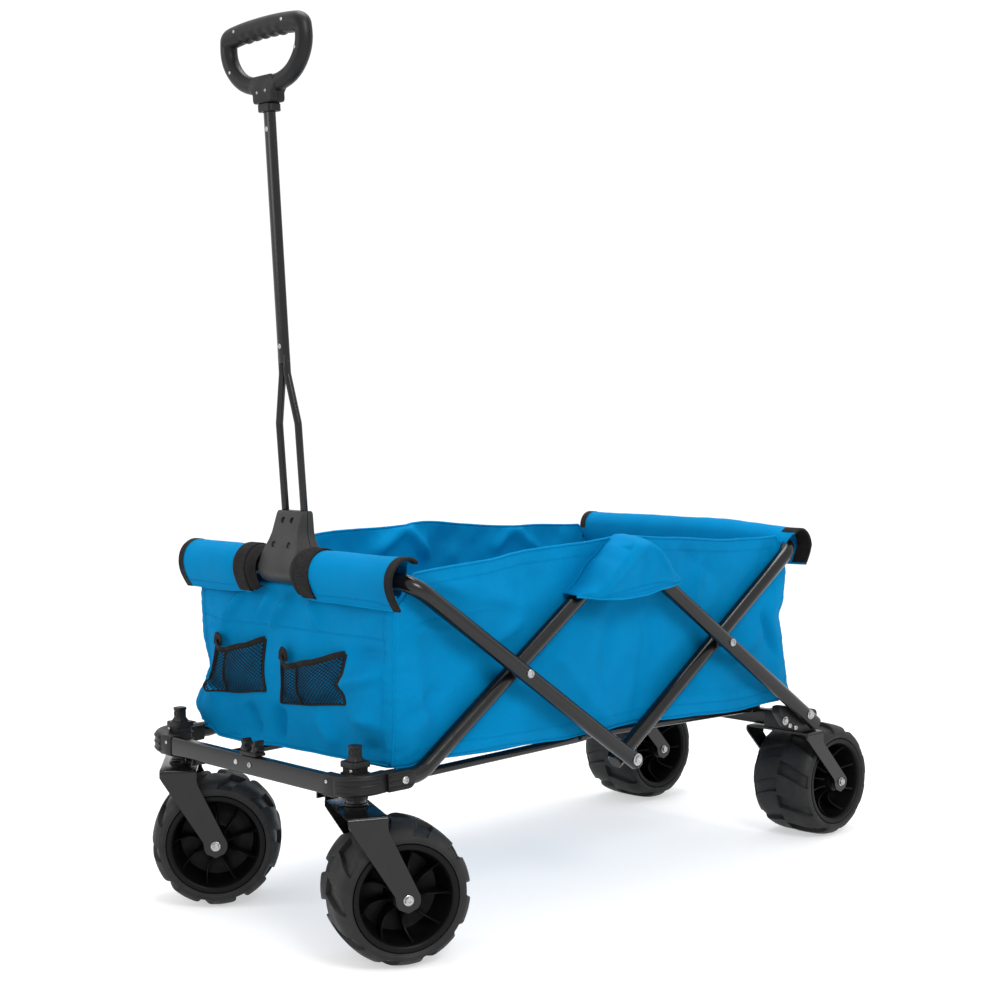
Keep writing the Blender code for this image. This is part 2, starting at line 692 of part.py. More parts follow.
def handle_tube():
    ends = [handle_axis(height) for height in HANDLE_TUBE]
    tube_obj = tube("handle_tube", ends, 0.0105, 4)
    lean = Matrix.Rotation(HANDLE_LEAN, 4, "X")
    squeeze = lean @ Matrix.Diagonal((1, 0.58, 1, 1)) @ lean.inverted()
    tube_obj.data.transform(Matrix.Translation(ends[0]) @ squeeze @ Matrix.Translation(-ends[0]))
    finish(tube_obj, "steel", "handle")


def grip_loop():
    """Centre line of the D-shaped grip, in the handle's own plane."""
    corners = [(0.0, 0.1075), (0.0800, 0.1045), (0.0800, 0.078), (0.040, 0.0365), (0.0, 0.0365)]
    right = rounded([(x, 0, z) for x, z in corners], 0.016, 4)
    left = [Vector((-point.x, 0, point.z)) for point in reversed(right)]
    return right[:-1] + left[:-1]


def grip():
    """Collar, neck and D-grip. The grip is two shells that meet in the handle's plane."""
    base = handle_axis(HANDLE_TUBE[1])
    place = Matrix.Translation(base) @ Matrix.Rotation(HANDLE_LEAN, 4, "X")
    collar = box("handle_collar", (-0.0145, -0.0105, GAP), (0.0145, 0.0105, 0.0110), 0.003)
    collar = bake(collar)
    collar.data.transform(place)
    finish(collar, "plastic", "handle")
    halves = {"front": (-0.03, -GAP / 2), "rear": (GAP / 2, 0.03)}
    for name, (low, high) in halves.items():
        shell = tube("grip_" + name, grip_loop(), GRIP_R, 4, closed=True)
        neck = plate(f"grip_{name}_neck", [(-0.019, 0.0114), (0.019, 0.0114), (0.022, 0.022),
                                           (0.028, 0.042), (-0.028, 0.042), (-0.022, 0.022)],
                     0.022, XZ)
        join(shell, neck)
        keep = box(f"grip_{name}_keep", (-0.2, low, 0.0), (0.2, high, 0.2))
        shell = bake(boolean(shell, keep, "INTERSECT"))
        shell.data.transform(place)
        finish(smooth(shell), "plastic", "handle")


def make_handle():
    handle_bracket()
    handle_rods()
    handle_tube()
    grip()


# ---------------------------------------------------------------- fabric tub
def end_panel(end, toward, owner):
    """End wall of the tub with its sleeve round the top rail."""
    y = toward * (TUB_Y + CLOTH / 2)
    low = (-TUB_X, y - CLOTH / 2, TUB_FLOOR)
    panel = box(end + "_panel", low, (TUB_X, y + CLOTH / 2, RAIL_Z - 0.020))
    reach = min(TUB_X, (OUTER_X if end == "front" else INNER_X) - CORNER_BEND - 0.001)
    notch = BRACKET_HALF + 0.0025
    stretches = [(-reach, -notch), (notch, reach)] if end == "front" else [(-reach, reach)]
    rail_y = toward * RAIL_Y
    for number, (start, stop) in enumerate(stretches):
        sleeve = cylinder(f"{end}_sleeve_{number}", SLEEVE_R, (start, rail_y, RAIL_Z),
                          (stop, rail_y, RAIL_Z), 20)
        join(panel, sleeve)
    bore_x(panel, end + "_rail_bore", TUBE_R + 0.0015, rail_y, RAIL_Z, -0.25, 0.25)
    if end == "front":
        cut(panel, box("front_panel_notch", (-notch, -0.45, RAIL_Z - NOTCH_DROP),
                       (notch, -0.36, RAIL_Z + 0.05)))
    finish(panel, "fabric", owner)


def side_panel(side, sign):
    """Side wall of the tub, higher over the middle."""
    low, ends = TUB_FLOOR, TUB_Y - 0.001
    outline = [(-ends, low), (ends, low), (ends, RAIL_Z - 0.035), (0.380, RAIL_Z - 0.035),
               (0.380, 0.484), (0.110, 0.496), (0.0, 0.504), (-0.110, 0.496), (-0.380, 0.484),
               (-0.380, RAIL_Z - 0.035), (-ends, RAIL_Z - 0.035)]
    where = Matrix.Translation((sign * (TUB_X + GAP + CLOTH / 2), 0, 0)) @ YZ
    finish(plate(f"side_panel_{side}", outline, CLOTH, where), "fabric", "tub")


def flap(side, sign):
    """Fabric flap that covers the top middle joint."""
    out, wall = OUTER_X + TUBE_R + 0.006, 0.002
    top, hem = 0.510, 0.427
    outline = [(out, hem), (out + wall, hem), (out + wall, top), (0.214, top),
               (0.214, top - wall), (out, top - wall)]
    obj = plate("side_flap_" + side, outline, FLAP_LONG, XZ)
    if sign < 0:
        mirror_x(obj)
    finish(obj, "fabric", "flaps")


def pocket(label, low_x, high_x):
    """Mesh pocket on the front of the tub, open at the top."""
    back = -TUB_Y - CLOTH - GAP
    wall, depth, low_z, high_z = 0.002, 0.030, 0.292, 0.372
    shell = box("mesh_pocket_" + label, (low_x, back - depth, low_z), (high_x, back, high_z))
    cut(shell, box(f"mesh_pocket_{label}_inside", (low_x + wall, back - depth + wall, low_z + wall),
                   (high_x - wall, back + 0.01, high_z + 0.01)))
    finish(shell, "mesh", "tub")


def make_tub():
    end_panel("front", -1, "tub")
    end_panel("rear", 1, "tub_rear_wall")
    for side, sign in SIDES.items():
        side_panel(side, sign)
        flap(side, sign)
    reach = TUB_Y - GAP
    finish(box("tub_floor", (-TUB_X, -reach, TUB_FLOOR), (TUB_X, reach, TUB_FLOOR + CLOTH)),
           "fabric", "tub")
    for label, (low_x, high_x) in POCKET_X.items():
        pocket(label, low_x, high_x)


make_bodies()
make_casters()
make_bases()
make_frames()
make_handle()
make_tub()
BODIES["cart"].location = (-BOX_CENTRE[0], -BOX_CENTRE[1], 0)
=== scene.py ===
"""Looks of the folding beach cart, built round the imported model. Pieces are modelled in the cart
frame: x = 0 is the middle plane, y = 0 the bottom middle pivot, the handle is at -y, metres."""

import json
from math import atan2, cos, exp, hypot, pi, radians, sin, sqrt, tan

import bmesh
import bpy
from mathutils import Matrix, Vector, noise


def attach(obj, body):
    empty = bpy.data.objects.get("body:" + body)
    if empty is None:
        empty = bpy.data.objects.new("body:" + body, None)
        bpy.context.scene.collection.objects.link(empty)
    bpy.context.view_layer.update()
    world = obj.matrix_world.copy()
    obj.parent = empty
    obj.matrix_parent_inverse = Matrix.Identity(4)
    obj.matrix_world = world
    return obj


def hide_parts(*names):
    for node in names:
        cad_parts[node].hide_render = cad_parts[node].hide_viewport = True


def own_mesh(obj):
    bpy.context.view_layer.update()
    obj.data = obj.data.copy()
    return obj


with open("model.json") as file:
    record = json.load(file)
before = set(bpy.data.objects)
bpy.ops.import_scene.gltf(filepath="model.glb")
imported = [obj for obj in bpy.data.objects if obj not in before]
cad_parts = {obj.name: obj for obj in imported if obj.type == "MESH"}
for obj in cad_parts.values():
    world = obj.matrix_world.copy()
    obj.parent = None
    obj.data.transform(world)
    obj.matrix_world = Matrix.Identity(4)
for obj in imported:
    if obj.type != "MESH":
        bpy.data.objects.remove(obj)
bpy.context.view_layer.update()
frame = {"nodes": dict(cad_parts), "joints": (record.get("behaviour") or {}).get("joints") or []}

JOINTS = {joint["name"]: joint for joint in frame["joints"]}
OFFSET = Vector((JOINTS["fold"]["pos_m"][0], JOINTS["bottom_middle"]["pos_m"][1], 0.0))
SIDES = {"left": 1, "right": -1}


def joint_at(name):
    """(y, z) of a hinge in the cart frame."""
    place = Vector(JOINTS[name]["pos_m"]) - OFFSET
    return place.y, place.z


# ---- driving dimensions
FRONT_HINGE = joint_at("fold")
REAR_HINGE = joint_at("rear_hinge")
PIVOT_FRONT = joint_at("front_cross")
PIVOT_REAR = joint_at("rear_cross")
PIVOT_MID = joint_at("bottom_middle")
PIVOT_TOP = joint_at("flap_level")
TUBE_RISE = (PIVOT_TOP[1] - PIVOT_FRONT[1]) / (PIVOT_TOP[0] - PIVOT_FRONT[0])
RAIL_Y, RAIL_Z = -joint_at("tub_hang")[0], joint_at("tub_hang")[1]
ROD_PIN = {"front": joint_at("front_floor_fold"), "rear": joint_at("rear_floor_fold")}
POST_X, POST_Y = 0.194, -0.449       # swivel axes of the front casters
FORK_X, FORK_REAR_Y = 0.186, 0.446   # the rear forks
WHEEL_R, TRAIL = 0.089, 0.0495
TUBE_R = 0.011
OUTER_X, INNER_X = 0.2475, 0.2245
FORK_WIDE, FORK_SHEET = 0.0605, 0.003
FORK_TOP = {"front": 0.195, "rear": 0.177}
FORK_Y = {"front": (-0.025, 0.025), "rear": (-0.038, 0.003)}
BAR = {"front": (-0.4735, 0.2248, 0.193), "rear": (0.428, 0.1905, 0.1596)}
ROD_X = {"front": 0.147, "rear": 0.1335}
ROD_MID_Z = 0.2135
HANDLE_LEAN = radians(3.3)
HANDLE_FOOT = Vector((0, -0.4055, 0.748))
GRIP_BASE_Z = 1.0725
BRACKET_R, BRACKET_HALF, BRACKET_TOP, BRACKET_TAPER = 0.025, 0.0385, 0.5525, 0.285
WALL_X, WALL_Y = 0.2115, 0.4105      # half sizes of the tub's walls
FLOOR_Z = 0.241
CORNER_R = 0.012
GAP = 0.0004


# ---- small tools
def smooth(value, low, high):
    share = min(max((value - low) / (high - low), 0.0), 1.0)
    return share * share * (3 - 2 * share)


def mix(a, b, share):
    return a + (b - a) * share


def table(points, value):
    """Smooth curve through (position, value) pairs."""
    if value <= points[0][0]:
        return points[0][1]
    for (x0, y0), (x1, y1) in zip(points, points[1:]):
        if value <= x1:
            return mix(y0, y1, smooth(value, x0, x1) * 0.5 + (value - x0) / (x1 - x0) * 0.5)
    return points[-1][1]


def wobble(x, y, z, scale, seed):
    """Smooth noise from -1 to 1."""
    return noise.noise(Vector((x * scale + seed * 7.3, y * scale - seed * 3.1, z * scale)))


def in_mm(*rows):
    """Rows of millimetres as rows of metres."""
    return [tuple(value / 1000 for value in row) for row in rows]


def merge(shells):
    verts, faces = [], []
    for more_verts, more_faces in shells:
        start = len(verts)
        verts += [Vector(v) for v in more_verts]
        faces += [[i + start for i in face] for face in more_faces]
    return verts, faces


def moved(shell, matrix):
    return [matrix @ Vector(v) for v in shell[0]], shell[1]


def mirrored(shell):
    return [Vector((-v[0], v[1], v[2])) for v in shell[0]], [f[::-1] for f in shell[1]]


def side_of(shell, sign):
    return shell if sign > 0 else mirrored(shell)


def circle(radius, count=24, flat=1.0):
    turns = [2 * pi * i / count for i in range(count)]
    return [(radius * cos(a), radius * flat * sin(a)) for a in turns]


def rounded_rect(width, height, radius, steps=4):
    points = []
    for turn, (sx, sy) in enumerate(((1, 1), (-1, 1), (-1, -1), (1, -1))):
        for i in range(steps + 1):
            a = pi / 2 * (turn + i / steps)
            points.append((sx * (width / 2 - radius) + radius * cos(a),
                           sy * (height / 2 - radius) + radius * sin(a)))
    return points


def bend(corners, radius, steps=10):
    """A path's corners, each inner one replaced by an arc."""
    points = [Vector(corners[0])]
    for before, corner, after in zip(corners, corners[1:], corners[2:]):
        corner = Vector(corner)
        back = (Vector(before) - corner).normalized()
        ahead = (Vector(after) - corner).normalized()
        half = back.angle(ahead) / 2
        centre = corner + (back + ahead).normalized() * (radius / sin(half))
        start = corner + back * (radius / tan(half)) - centre
        stop = corner + ahead * (radius / tan(half)) - centre
        whole = start.angle(stop)
        for i in range(steps + 1):
            share = i / steps
            spot = start * sin((1 - share) * whole) + stop * sin(share * whole)
            points.append(centre + spot / sin(whole))
    points.append(Vector(corners[-1]))
    return points


def sweep(path, section, closed=False, side=(1, 0, 0), scale=None):
    """A section carried along a path. side is the direction of the section's first axis."""
    path = [Vector(p) for p in path]
    count, size = len(path), len(section)
    verts, normal, before = [], Vector(side), None
    for i, spot in enumerate(path):
        ahead = path[(i + 1) % count] if closed or i < count - 1 else spot
        behind = path[i - 1] if closed or i else spot
        way = (ahead - behind).normalized()
        if before is not None:
            normal = before.rotation_difference(way) @ normal
        normal = (normal - way * normal.dot(way)).normalized()
        across = way.cross(normal)
        wide, high = scale(i / (count - 1)) if scale else (1, 1)
        verts += [spot + normal * (a * wide) + across * (b * high) for a, b in section]
        before = way
    faces = []
    for i in range(count if closed else count - 1):
        here, there = i * size, (i + 1) % count * size
        for j in range(size):
            k = (j + 1) % size
            faces.append([here + j, here + k, there + k, there + j])
    if not closed:
        faces.append(list(range(size))[::-1])
        faces.append([(count - 1) * size + j for j in range(size)])
    return verts, faces


def lathe(profile, place=Matrix(), steps=32):
    """(radius, height) points turned about +Z. It closes at the axis or onto its own start."""
    verts, rows = [], []
    for radius, height in profile:
        if radius < 1e-6:
            rows.append([len(verts)] * steps)
            verts.append(Vector((0, 0, height)))
        else:
            rows.append(list(range(len(verts), len(verts) + steps)))
            verts += [Vector((radius * cos(2 * pi * i / steps),
                              radius * sin(2 * pi * i / steps), height))
                      for i in range(steps)]
    faces = []
    for low, high in zip(rows, rows[1:]):
        for i in range(steps):
            k = (i + 1) % steps
            face = list(dict.fromkeys([low[i], high[i], high[k], low[k]]))
            if len(face) > 2:
                faces.append(face)
    return [place @ v for v in verts], faces


def mesh_of(name, shell):
    mesh = bpy.data.meshes.new(name)
    mesh.from_pydata([tuple(v) for v in shell[0]], [], shell[1])
    return mesh


def opened(shell):
    """A shell as an editable mesh."""
    mesh = mesh_of("shape", shell)
    made = bmesh.new()
    made.from_mesh(mesh)
    bpy.data.meshes.remove(mesh)
    return made


def everything(made):
    return made.verts[:] + made.edges[:] + made.faces[:]


def finished(made):
    """An editable mesh back as a shell."""
    made.verts.index_update()
    shell = [v.co.copy() for v in made.verts], [[v.index for v in f.verts] for f in made.faces]
    made.free()
    return shell


def bevelled(shell, width, segments=2, sharp=25):
    """A shell with its sharp edges rounded."""
    made = opened(shell)
    bmesh.ops.recalc_face_normals(made, faces=made.faces)
    edges = [e for e in made.edges
             if len(e.link_faces) == 2 and e.calc_face_angle(0) > radians(sharp)]
    bmesh.ops.bevel(made, geom=edges, offset=width, segments=segments, affect="EDGES",
                    profile=0.5, clamp_overlap=True)
    return finished(made)


def block(low, high, width):
    """A box between two corners, its edges rounded."""
    corners = [(x, y, z) for x in (low[0], high[0]) for y in (low[1], high[1])
               for z in (low[2], high[2])]
    faces = [[0, 1, 3, 2], [4, 6, 7, 5], [0, 4, 5, 1], [2, 3, 7, 6], [0, 2, 6, 4], [1, 5, 7, 3]]
    return bevelled((corners, faces), width)


PLANES = {"X": lambda u, v, w: (w, u, v), "Y": lambda u, v, w: (u, w, v),
          "Z": lambda u, v, w: (u, v, w)}


def prism(outline, low, high, axis="X", width=0.0):
    """An outline in the other two axes, pushed from low to high along the axis."""
    put, count = PLANES[axis], len(outline)
    verts = [put(u, v, low) for u, v in outline] + [put(u, v, high) for u, v in outline]
    faces = [list(range(count))[::-1], list(range(count, 2 * count))]
    faces += [[i, (i + 1) % count, (i + 1) % count + count, i + count] for i in range(count)]
    return bevelled((verts, faces), width) if width else (verts, faces)


def along(axis, place=(0, 0, 0)):
    """Places a shape made along +Z on an axis through a point."""
    turn = Vector((0, 0, 1)).rotation_difference(Vector(axis)).to_matrix().to_4x4()
    return Matrix.Translation(place) @ turn


def grid(rows, closed=False):
    """Faces over rows of points."""
    verts = [v for row in rows for v in row]
    wide = len(rows[0])
    faces = []
    for i in range(len(rows) - 1 + bool(closed)):
        for j in range(wide - 1):
            a, b = i * wide + j, (i + 1) % len(rows) * wide + j
            faces.append([a, a + 1, b + 1, b])
    return verts, faces


def linked(name, data):
    obj = bpy.data.objects.new(name, data)
    bpy.context.scene.collection.objects.link(obj)
    return obj


def solid(name, shells, tidy=True):
    """Shells as one object in the scene, their faces turned outward."""
    verts, faces = merge(shells)
    mesh = mesh_of(name, ([v + OFFSET for v in verts], faces))
    if tidy:
        made = bmesh.new()
        made.from_mesh(mesh)
        bmesh.ops.recalc_face_normals(made, faces=made.faces)
        made.to_mesh(mesh)
        made.free()
    return linked(name, mesh)


def smoothed(obj, angle):
    obj.data.shade_smooth()
    obj.data.set_sharp_from_angle(angle=radians(angle))


def piece(name, shells, material, body, angle=32, tidy=True):
    """One finished piece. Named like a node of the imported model, it stands for that node."""
    obj = solid(name, shells, tidy)
    smoothed(obj, angle)
    obj.data.materials.append(material)
    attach(obj, body)
    if name in frame["nodes"]:
        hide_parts(name)
    return obj


CLOTH = 0.0014        # thickness of the walls and flaps


def cloth(name, rows, material, body, thickness, angle=60):
    """A piece of cloth over rows of points."""
    obj = piece(name, [grid(rows)], material, body, angle=angle)
    change = obj.modifiers.new("Thickness", "SOLIDIFY")
    change.thickness = thickness
    change.offset = 0.0
    return apply(obj)


def apply(obj):
    """Keeps what an object's modifiers make as its mesh."""
    bpy.context.view_layer.update()
    mesh = bpy.data.meshes.new_from_object(obj.evaluated_get(
        bpy.context.evaluated_depsgraph_get()))
    obj.modifiers.clear()
    obj.data = mesh
    return obj


# ---- materials
class Shader:
    """A node material, built up in short lines."""

    def __init__(self, name, colour, roughness, metallic=0.0, specular=0.5):
        self.material = bpy.data.materials.new(name)
        self.material.use_nodes = True
        self.tree = self.material.node_tree
        self.main = self.tree.nodes["Principled BSDF"]
        for key, value in (("Base Color", (*colour, 1)), ("Roughness", roughness),
                           ("Metallic", metallic), ("Specular IOR Level", specular)):
            self.main.inputs[key].default_value = value
        self.where = self.node("ShaderNodeTexCoord").outputs["Object"]

    def node(self, kind, **values):
        made = self.tree.nodes.new(kind)
        for key, value in values.items():
            if hasattr(made, key):
                setattr(made, key, value)
            else:
                made.inputs[key.replace("_", " ")].default_value = value
        return made

    def link(self, out, socket):
        self.tree.links.new(out, socket)

    def noise(self, scale, detail=3.0, rough=0.55):
        made = self.node("ShaderNodeTexNoise", Scale=scale, Detail=detail, Roughness=rough)
        self.link(self.where, made.inputs["Vector"])
        return made.outputs["Fac"]

    def ramp(self, value, stops):
        made = self.node("ShaderNodeValToRGB")
        elements = made.color_ramp.elements
        for element, (position, colour) in zip(elements, (stops[0], stops[-1])):
            element.position, element.color = position, (*colour, 1)
        for position, colour in stops[1:-1]:
            elements.new(position).color = (*colour, 1)
        self.link(value, made.inputs["Fac"])
        return made.outputs["Color"]

    def math(self, operation, *values):
        made = self.node("ShaderNodeMath", operation=operation)
        for socket, value in zip(made.inputs, values):
            if isinstance(value, (int, float)):
                socket.default_value = value
            else:
                self.link(value, socket)
        return made.outputs["Value"]

    def colour(self, value, stops):
        self.link(self.ramp(value, stops), self.main.inputs["Base Color"])

    def rough(self, value, low, high):
        span = self.node("ShaderNodeMapRange", To_Min=low, To_Max=high, From_Min=0.3, From_Max=0.7)
        self.link(value, span.inputs["Value"])
        self.link(span.outputs["Result"], self.main.inputs["Roughness"])

    def bump(self, height, distance, strength=1.0):
        made = self.node("ShaderNodeBump", Distance=distance, Strength=strength)
        self.link(height, made.inputs["Height"])
        self.link(made.outputs["Normal"], self.main.inputs["Normal"])

    def threads(self, direction, pitch):
        """Rounded ridges across a direction."""
        place = self.node("ShaderNodeVectorMath", operation="DOT_PRODUCT")
        self.link(self.where, place.inputs[0])
        place.inputs[1].default_value = [2 * pi / pitch * d for d in direction]
        return self.math("ABSOLUTE", self.math("SINE", place.outputs["Value"]))


def grey(level, tint=0.0):
    return (level, level, level * (1 + tint))


def coated_steel():
    shader = Shader("powder_coated_steel", grey(0.004), 0.2, specular=0.34)
    cloud = shader.noise(38, 4)
    shader.colour(cloud, [(0.3, grey(0.0028)), (0.72, grey(0.0052, 0.05))])
    shader.rough(shader.noise(90, 3), 0.15, 0.25)
    peel = shader.noise(900, 2)
    shader.bump(peel, 0.00012, 0.5)
    return shader.material


def moulded(name, level, rough, grain, specular=0.22):
    shader = Shader(name, grey(level), rough, specular=specular)
    shader.colour(shader.noise(26, 4), [(0.3, grey(level * 0.8)), (0.75, grey(level * 1.25))])
    shader.rough(shader.noise(60, 3), rough - 0.07, rough + 0.09)
    shader.bump(shader.noise(grain, 2, 0.7), 0.00015, 0.45)
    return shader.material


def rubber():
    shader = Shader("tyre_rubber", grey(0.008), 0.6, specular=0.2)
    dust = shader.noise(22, 6, 0.62)
    shader.colour(dust, [(0.35, grey(0.011)), (0.55, grey(0.016)), (0.8, grey(0.026))])
    shader.rough(shader.noise(45, 4), 0.46, 0.7)
    shader.bump(shader.noise(420, 4, 0.65), 0.0003, 0.35)
    return shader.material


def zinc():
    shader = Shader("zinc_plate", grey(0.42), 0.28, 1.0)
    shader.colour(shader.noise(150, 3), [(0.3, grey(0.28)), (0.7, grey(0.5, 0.02))])
    shader.rough(shader.noise(300, 2), 0.18, 0.36)
    shader.bump(shader.noise(1200, 2), 0.00005, 0.4)
    return shader.material


def polyester(name, dark, base, light):
    """Woven cloth: fine crossed threads, slubs, cloudy dye and a varied roughness."""
    shader = Shader(name, base, 0.72, specular=0.03)
    dye = shader.noise(7, 5, 0.6)
    shader.colour(dye, [(0.3, dark), (0.5, base), (0.72, light)])
    warp = shader.threads((1, 1, 0), 0.0011)
    weft = shader.threads((0.2, -0.2, 1), 0.0011)
    weave = shader.math("ADD", warp, weft)
    slub = shader.math("MULTIPLY", shader.noise(240, 3), 1.6)
    shader.bump(shader.math("ADD", weave, slub), 0.00022, 0.55)
    shader.rough(shader.noise(30, 3), 0.62, 0.8)
    return shader.material


def webbing(name, level, pitch):
    shader = Shader(name, grey(level), 0.8, specular=0.15)
    shader.colour(shader.noise(60, 4), [(0.3, (level * 0.8, level * 0.75, level * 0.72)),
                                        (0.75, (level * 1.5, level * 1.35, level * 1.3))])
    ribs = shader.math("ADD", shader.threads((1, 0.4, 0), pitch),
                       shader.threads((0, 0.3, 1), pitch))
    shader.bump(ribs, 0.0003, 0.7)
    shader.rough(shader.noise(80, 3), 0.68, 0.88)
    return shader.material


STEEL = coated_steel()
PLASTIC = moulded("black_plastic", 0.0065, 0.42, 700)
RIM = moulded("rim_plastic", 0.003, 0.4, 500, 0.11)
BRACKET = moulded("grey_plastic", 0.026, 0.42, 600)
RUBBER = rubber()
ZINC = zinc()
BLUE = polyester("blue_polyester", (0.0, 0.15, 0.335), (0.0, 0.17, 0.38), (0.0, 0.19, 0.42))
STITCH = polyester("blue_thread", (0.0, 0.185, 0.41), (0.0, 0.205, 0.45), (0.0, 0.225, 0.49))
BINDING = webbing("dark_binding", 0.0085, 0.0016)
STRAP = webbing("strap_webbing", 0.011, 0.0022)
NET = webbing("black_net", 0.005, 0.0008)


# ---- camera and light
def make_camera():
    data = bpy.data.cameras.new("camera")
    data.lens, data.sensor_width = 63.03, 36
    right = Vector((0.68965, 0.72412, -0.0059)).normalized()
    ahead = Vector((-0.72325, 0.68837, -0.05527))
    ahead = (ahead - right * ahead.dot(right)).normalized()
    place = Matrix((right, right.cross(ahead), -ahead)).transposed().to_4x4()
    place.translation = OFFSET + Vector((1.8708, -1.7953, 0.6933))
    camera = linked("camera", data)
    camera.matrix_world = place
    bpy.context.scene.camera = camera


def area_light(name, place, target, size, power):
    data = bpy.data.lights.new(name, "AREA")
    data.shape, data.size, data.size_y, data.energy = "RECTANGLE", size[0], size[1], power
    lamp = linked(name, data)
    lamp.location = place
    lamp.rotation_euler = (Vector(target) - Vector(place)).to_track_quat("-Z", "Y").to_euler()


def make_stage():
    world = bpy.data.worlds.new("studio")
    world.use_nodes = True
    back = world.node_tree.nodes["Background"]
    back.inputs["Color"].default_value = (1.0, 1.0, 1.0, 1)
    back.inputs["Strength"].default_value = 1.04
    bpy.context.scene.world = world
    bpy.context.scene.view_settings.view_transform = "Standard"
    area_light("key", (2.7, -1.0, 2.4), (0, 0, 0.35), (1.1, 1.1), 60)
    area_light("left", (-1.2, -2.4, 1.4), (0, -0.2, 0.4), (0.9, 1.2), 10)
    area_light("top", (-0.3, 0.2, 3.0), (0, 0, 0.2), (1.4, 1.4), 50)
    shader = Shader("paper_floor", grey(0.56), 0.9, specular=0.0)
    shader.colour(shader.noise(1.5, 2), [(0.3, grey(0.555)), (0.7, grey(0.565))])
    shader.main.inputs["Emission Color"].default_value = (1, 1, 1, 1)
    shader.main.inputs["Emission Strength"].default_value = 0.5
    shader.bump(shader.noise(160, 2), 0.0002, 0.2)
    reach = 40
    corners = [(-reach, -reach, 0), (reach, -reach, 0), (reach, reach, 0), (-reach, reach, 0)]
    floor = linked("floor", mesh_of("floor", (corners, [[0, 1, 2, 3]])))
    floor.data.materials.append(shader.material)


# ---- bolts and screws
def hex_bolt(place, axis, radius=0.0062, height=0.0035, washer=0.0085):
    """Hexagon head on a washer, standing on a face."""
    head = [(radius / cos(pi / 6), 0.001), (radius / cos(pi / 6), height),
            (radius * 0.55, height + 0.0002), (radius * 0.5, height - 0.0006), (0, height - 0.0006)]
    hexagon = lathe([(0, 0.001)] + head, along(axis, place), 6)
    ring = lathe([(0, 0), (washer, 0), (washer, 0.0009), (washer * 0.93, 0.0012), (0, 0.0012)],
                 along(axis, place), 24)
    return [bevelled(hexagon, 0.0004), ring]


def domed(place, axis, radius, height, shares, steps):
    """Turned head from shares of its radius and height."""
    return [lathe([(radius * r, height * h) for r, h in shares], along(axis, place), steps)]


def pan_screw(place, axis, radius=0.0055, height=0.0026):
    """Domed screw head with a driver recess."""
    return domed(place, axis, radius, height, ((1, 0), (1, 0.35), (0.86, 0.75), (0.55, 1),
                                               (0.42, 1), (0.3, 0.45), (0, 0.4)), 20)


def socket_rivet(place, axis, radius=0.0066, height=0.0034):
    """Rivet head with a stepped crown, as on the crossings of the tubes."""
    return domed(place, axis, radius, height, ((1, 0), (1, 0.4), (0.85, 0.8), (0.6, 1),
                                               (0.5, 1), (0.38, 0.55), (0, 0.5)), 24)


# ---- tubes of the two scissors
def beyond(start, end, extra):
    return Vector(end) + (Vector(end) - Vector(start)).normalized() * extra


def tube(path, radius=TUBE_R, closed_end=0.0015):
    """Round tube with rounded end caps."""
    path = [Vector(p) for p in path]
    way = (path[1] - path[0]).normalized()
    path.insert(1, path[0] + way * closed_end)
    way = (path[-2] - path[-1]).normalized()
    path.insert(len(path) - 1, path[-1] + way * closed_end)
    last = len(path) - 1

    def scale(share):
        return (0.9, 0.9) if share * last < 0.5 or share * last > last - 0.5 else (1, 1)
    return sweep(path, circle(radius, 28), scale=scale)


def top_frame(name, rail_y, plane, pivot, body):
    foot = beyond((0, *pivot), (0, *PIVOT_MID), 0.013)
    corners = [(plane, foot.y, foot.z), (plane, rail_y, RAIL_Z), (-plane, rail_y, RAIL_Z),
               (-plane, foot.y, foot.z)]
    piece(name, [tube(bend(corners, 0.03, 14))], STEEL, body)


def make_frames():
    top_frame("front_top_frame", -RAIL_Y, OUTER_X, PIVOT_FRONT, "front_frame")
    top_frame("rear_top_frame", RAIL_Y, INNER_X, PIVOT_REAR, "rear_frame")
    bend_y = PIVOT_FRONT[0] - (PIVOT_FRONT[1] - FRONT_HINGE[1]) / TUBE_RISE
    for side, sign in SIDES.items():
        x = sign * INNER_X
        top = beyond((0, *PIVOT_FRONT), (0, *PIVOT_TOP), 0.013)
        path = bend([(x, FRONT_HINGE[0] - 0.013, FRONT_HINGE[1]), (x, bend_y, FRONT_HINGE[1]),
                     (x, top.y, top.z)], 0.045, 14)
        piece("front_arm_" + side, [tube(path)], STEEL, "front_arms")
        x = sign * OUTER_X
        top = beyond((0, *PIVOT_REAR), (0, *PIVOT_TOP), 0.013)
        foot = beyond((0, *PIVOT_REAR), (0, *REAR_HINGE), 0.032)
        arm = [tube([(x, top.y, top.z), (x, *PIVOT_REAR), (x, foot.y, foot.z)]),
               *socket_rivet((x + sign * TUBE_R, *PIVOT_TOP), (sign, 0, 0))]
        piece("rear_arm_" + side, arm, STEEL, "rear_arms")
        for name, pivot, body in (("front_cross_bolt_", PIVOT_FRONT, "front_arms"),
                                  ("rear_cross_bolt_", PIVOT_REAR, "rear_frame")):
            out, inside = sign * (OUTER_X + TUBE_R), sign * (INNER_X - TUBE_R)
            heads = socket_rivet((out, *pivot), (sign, 0, 0), 0.0058, 0.0032)
            heads += [lathe(in_mm((0, 0), (6.2, 0), (5.5, 1.2), (0, 1.4)),
                            along((-sign, 0, 0), (inside, *pivot)), 20)]
            spacer = lathe(in_mm((4, 0), (8.5, 0), (8.5, 1.2), (4, 1.2)),
                           along((sign, 0, 0), (sign * (INNER_X + TUBE_R), *pivot)), 24)
            piece(name + side, [*heads, spacer], ZINC, body)
    middle_tube()
    for end, body in (("front", "front_floor_rods"), ("rear", "rear_floor_rods")):
        for side, sign in SIDES.items():
            floor_rod(end, side, sign, body)


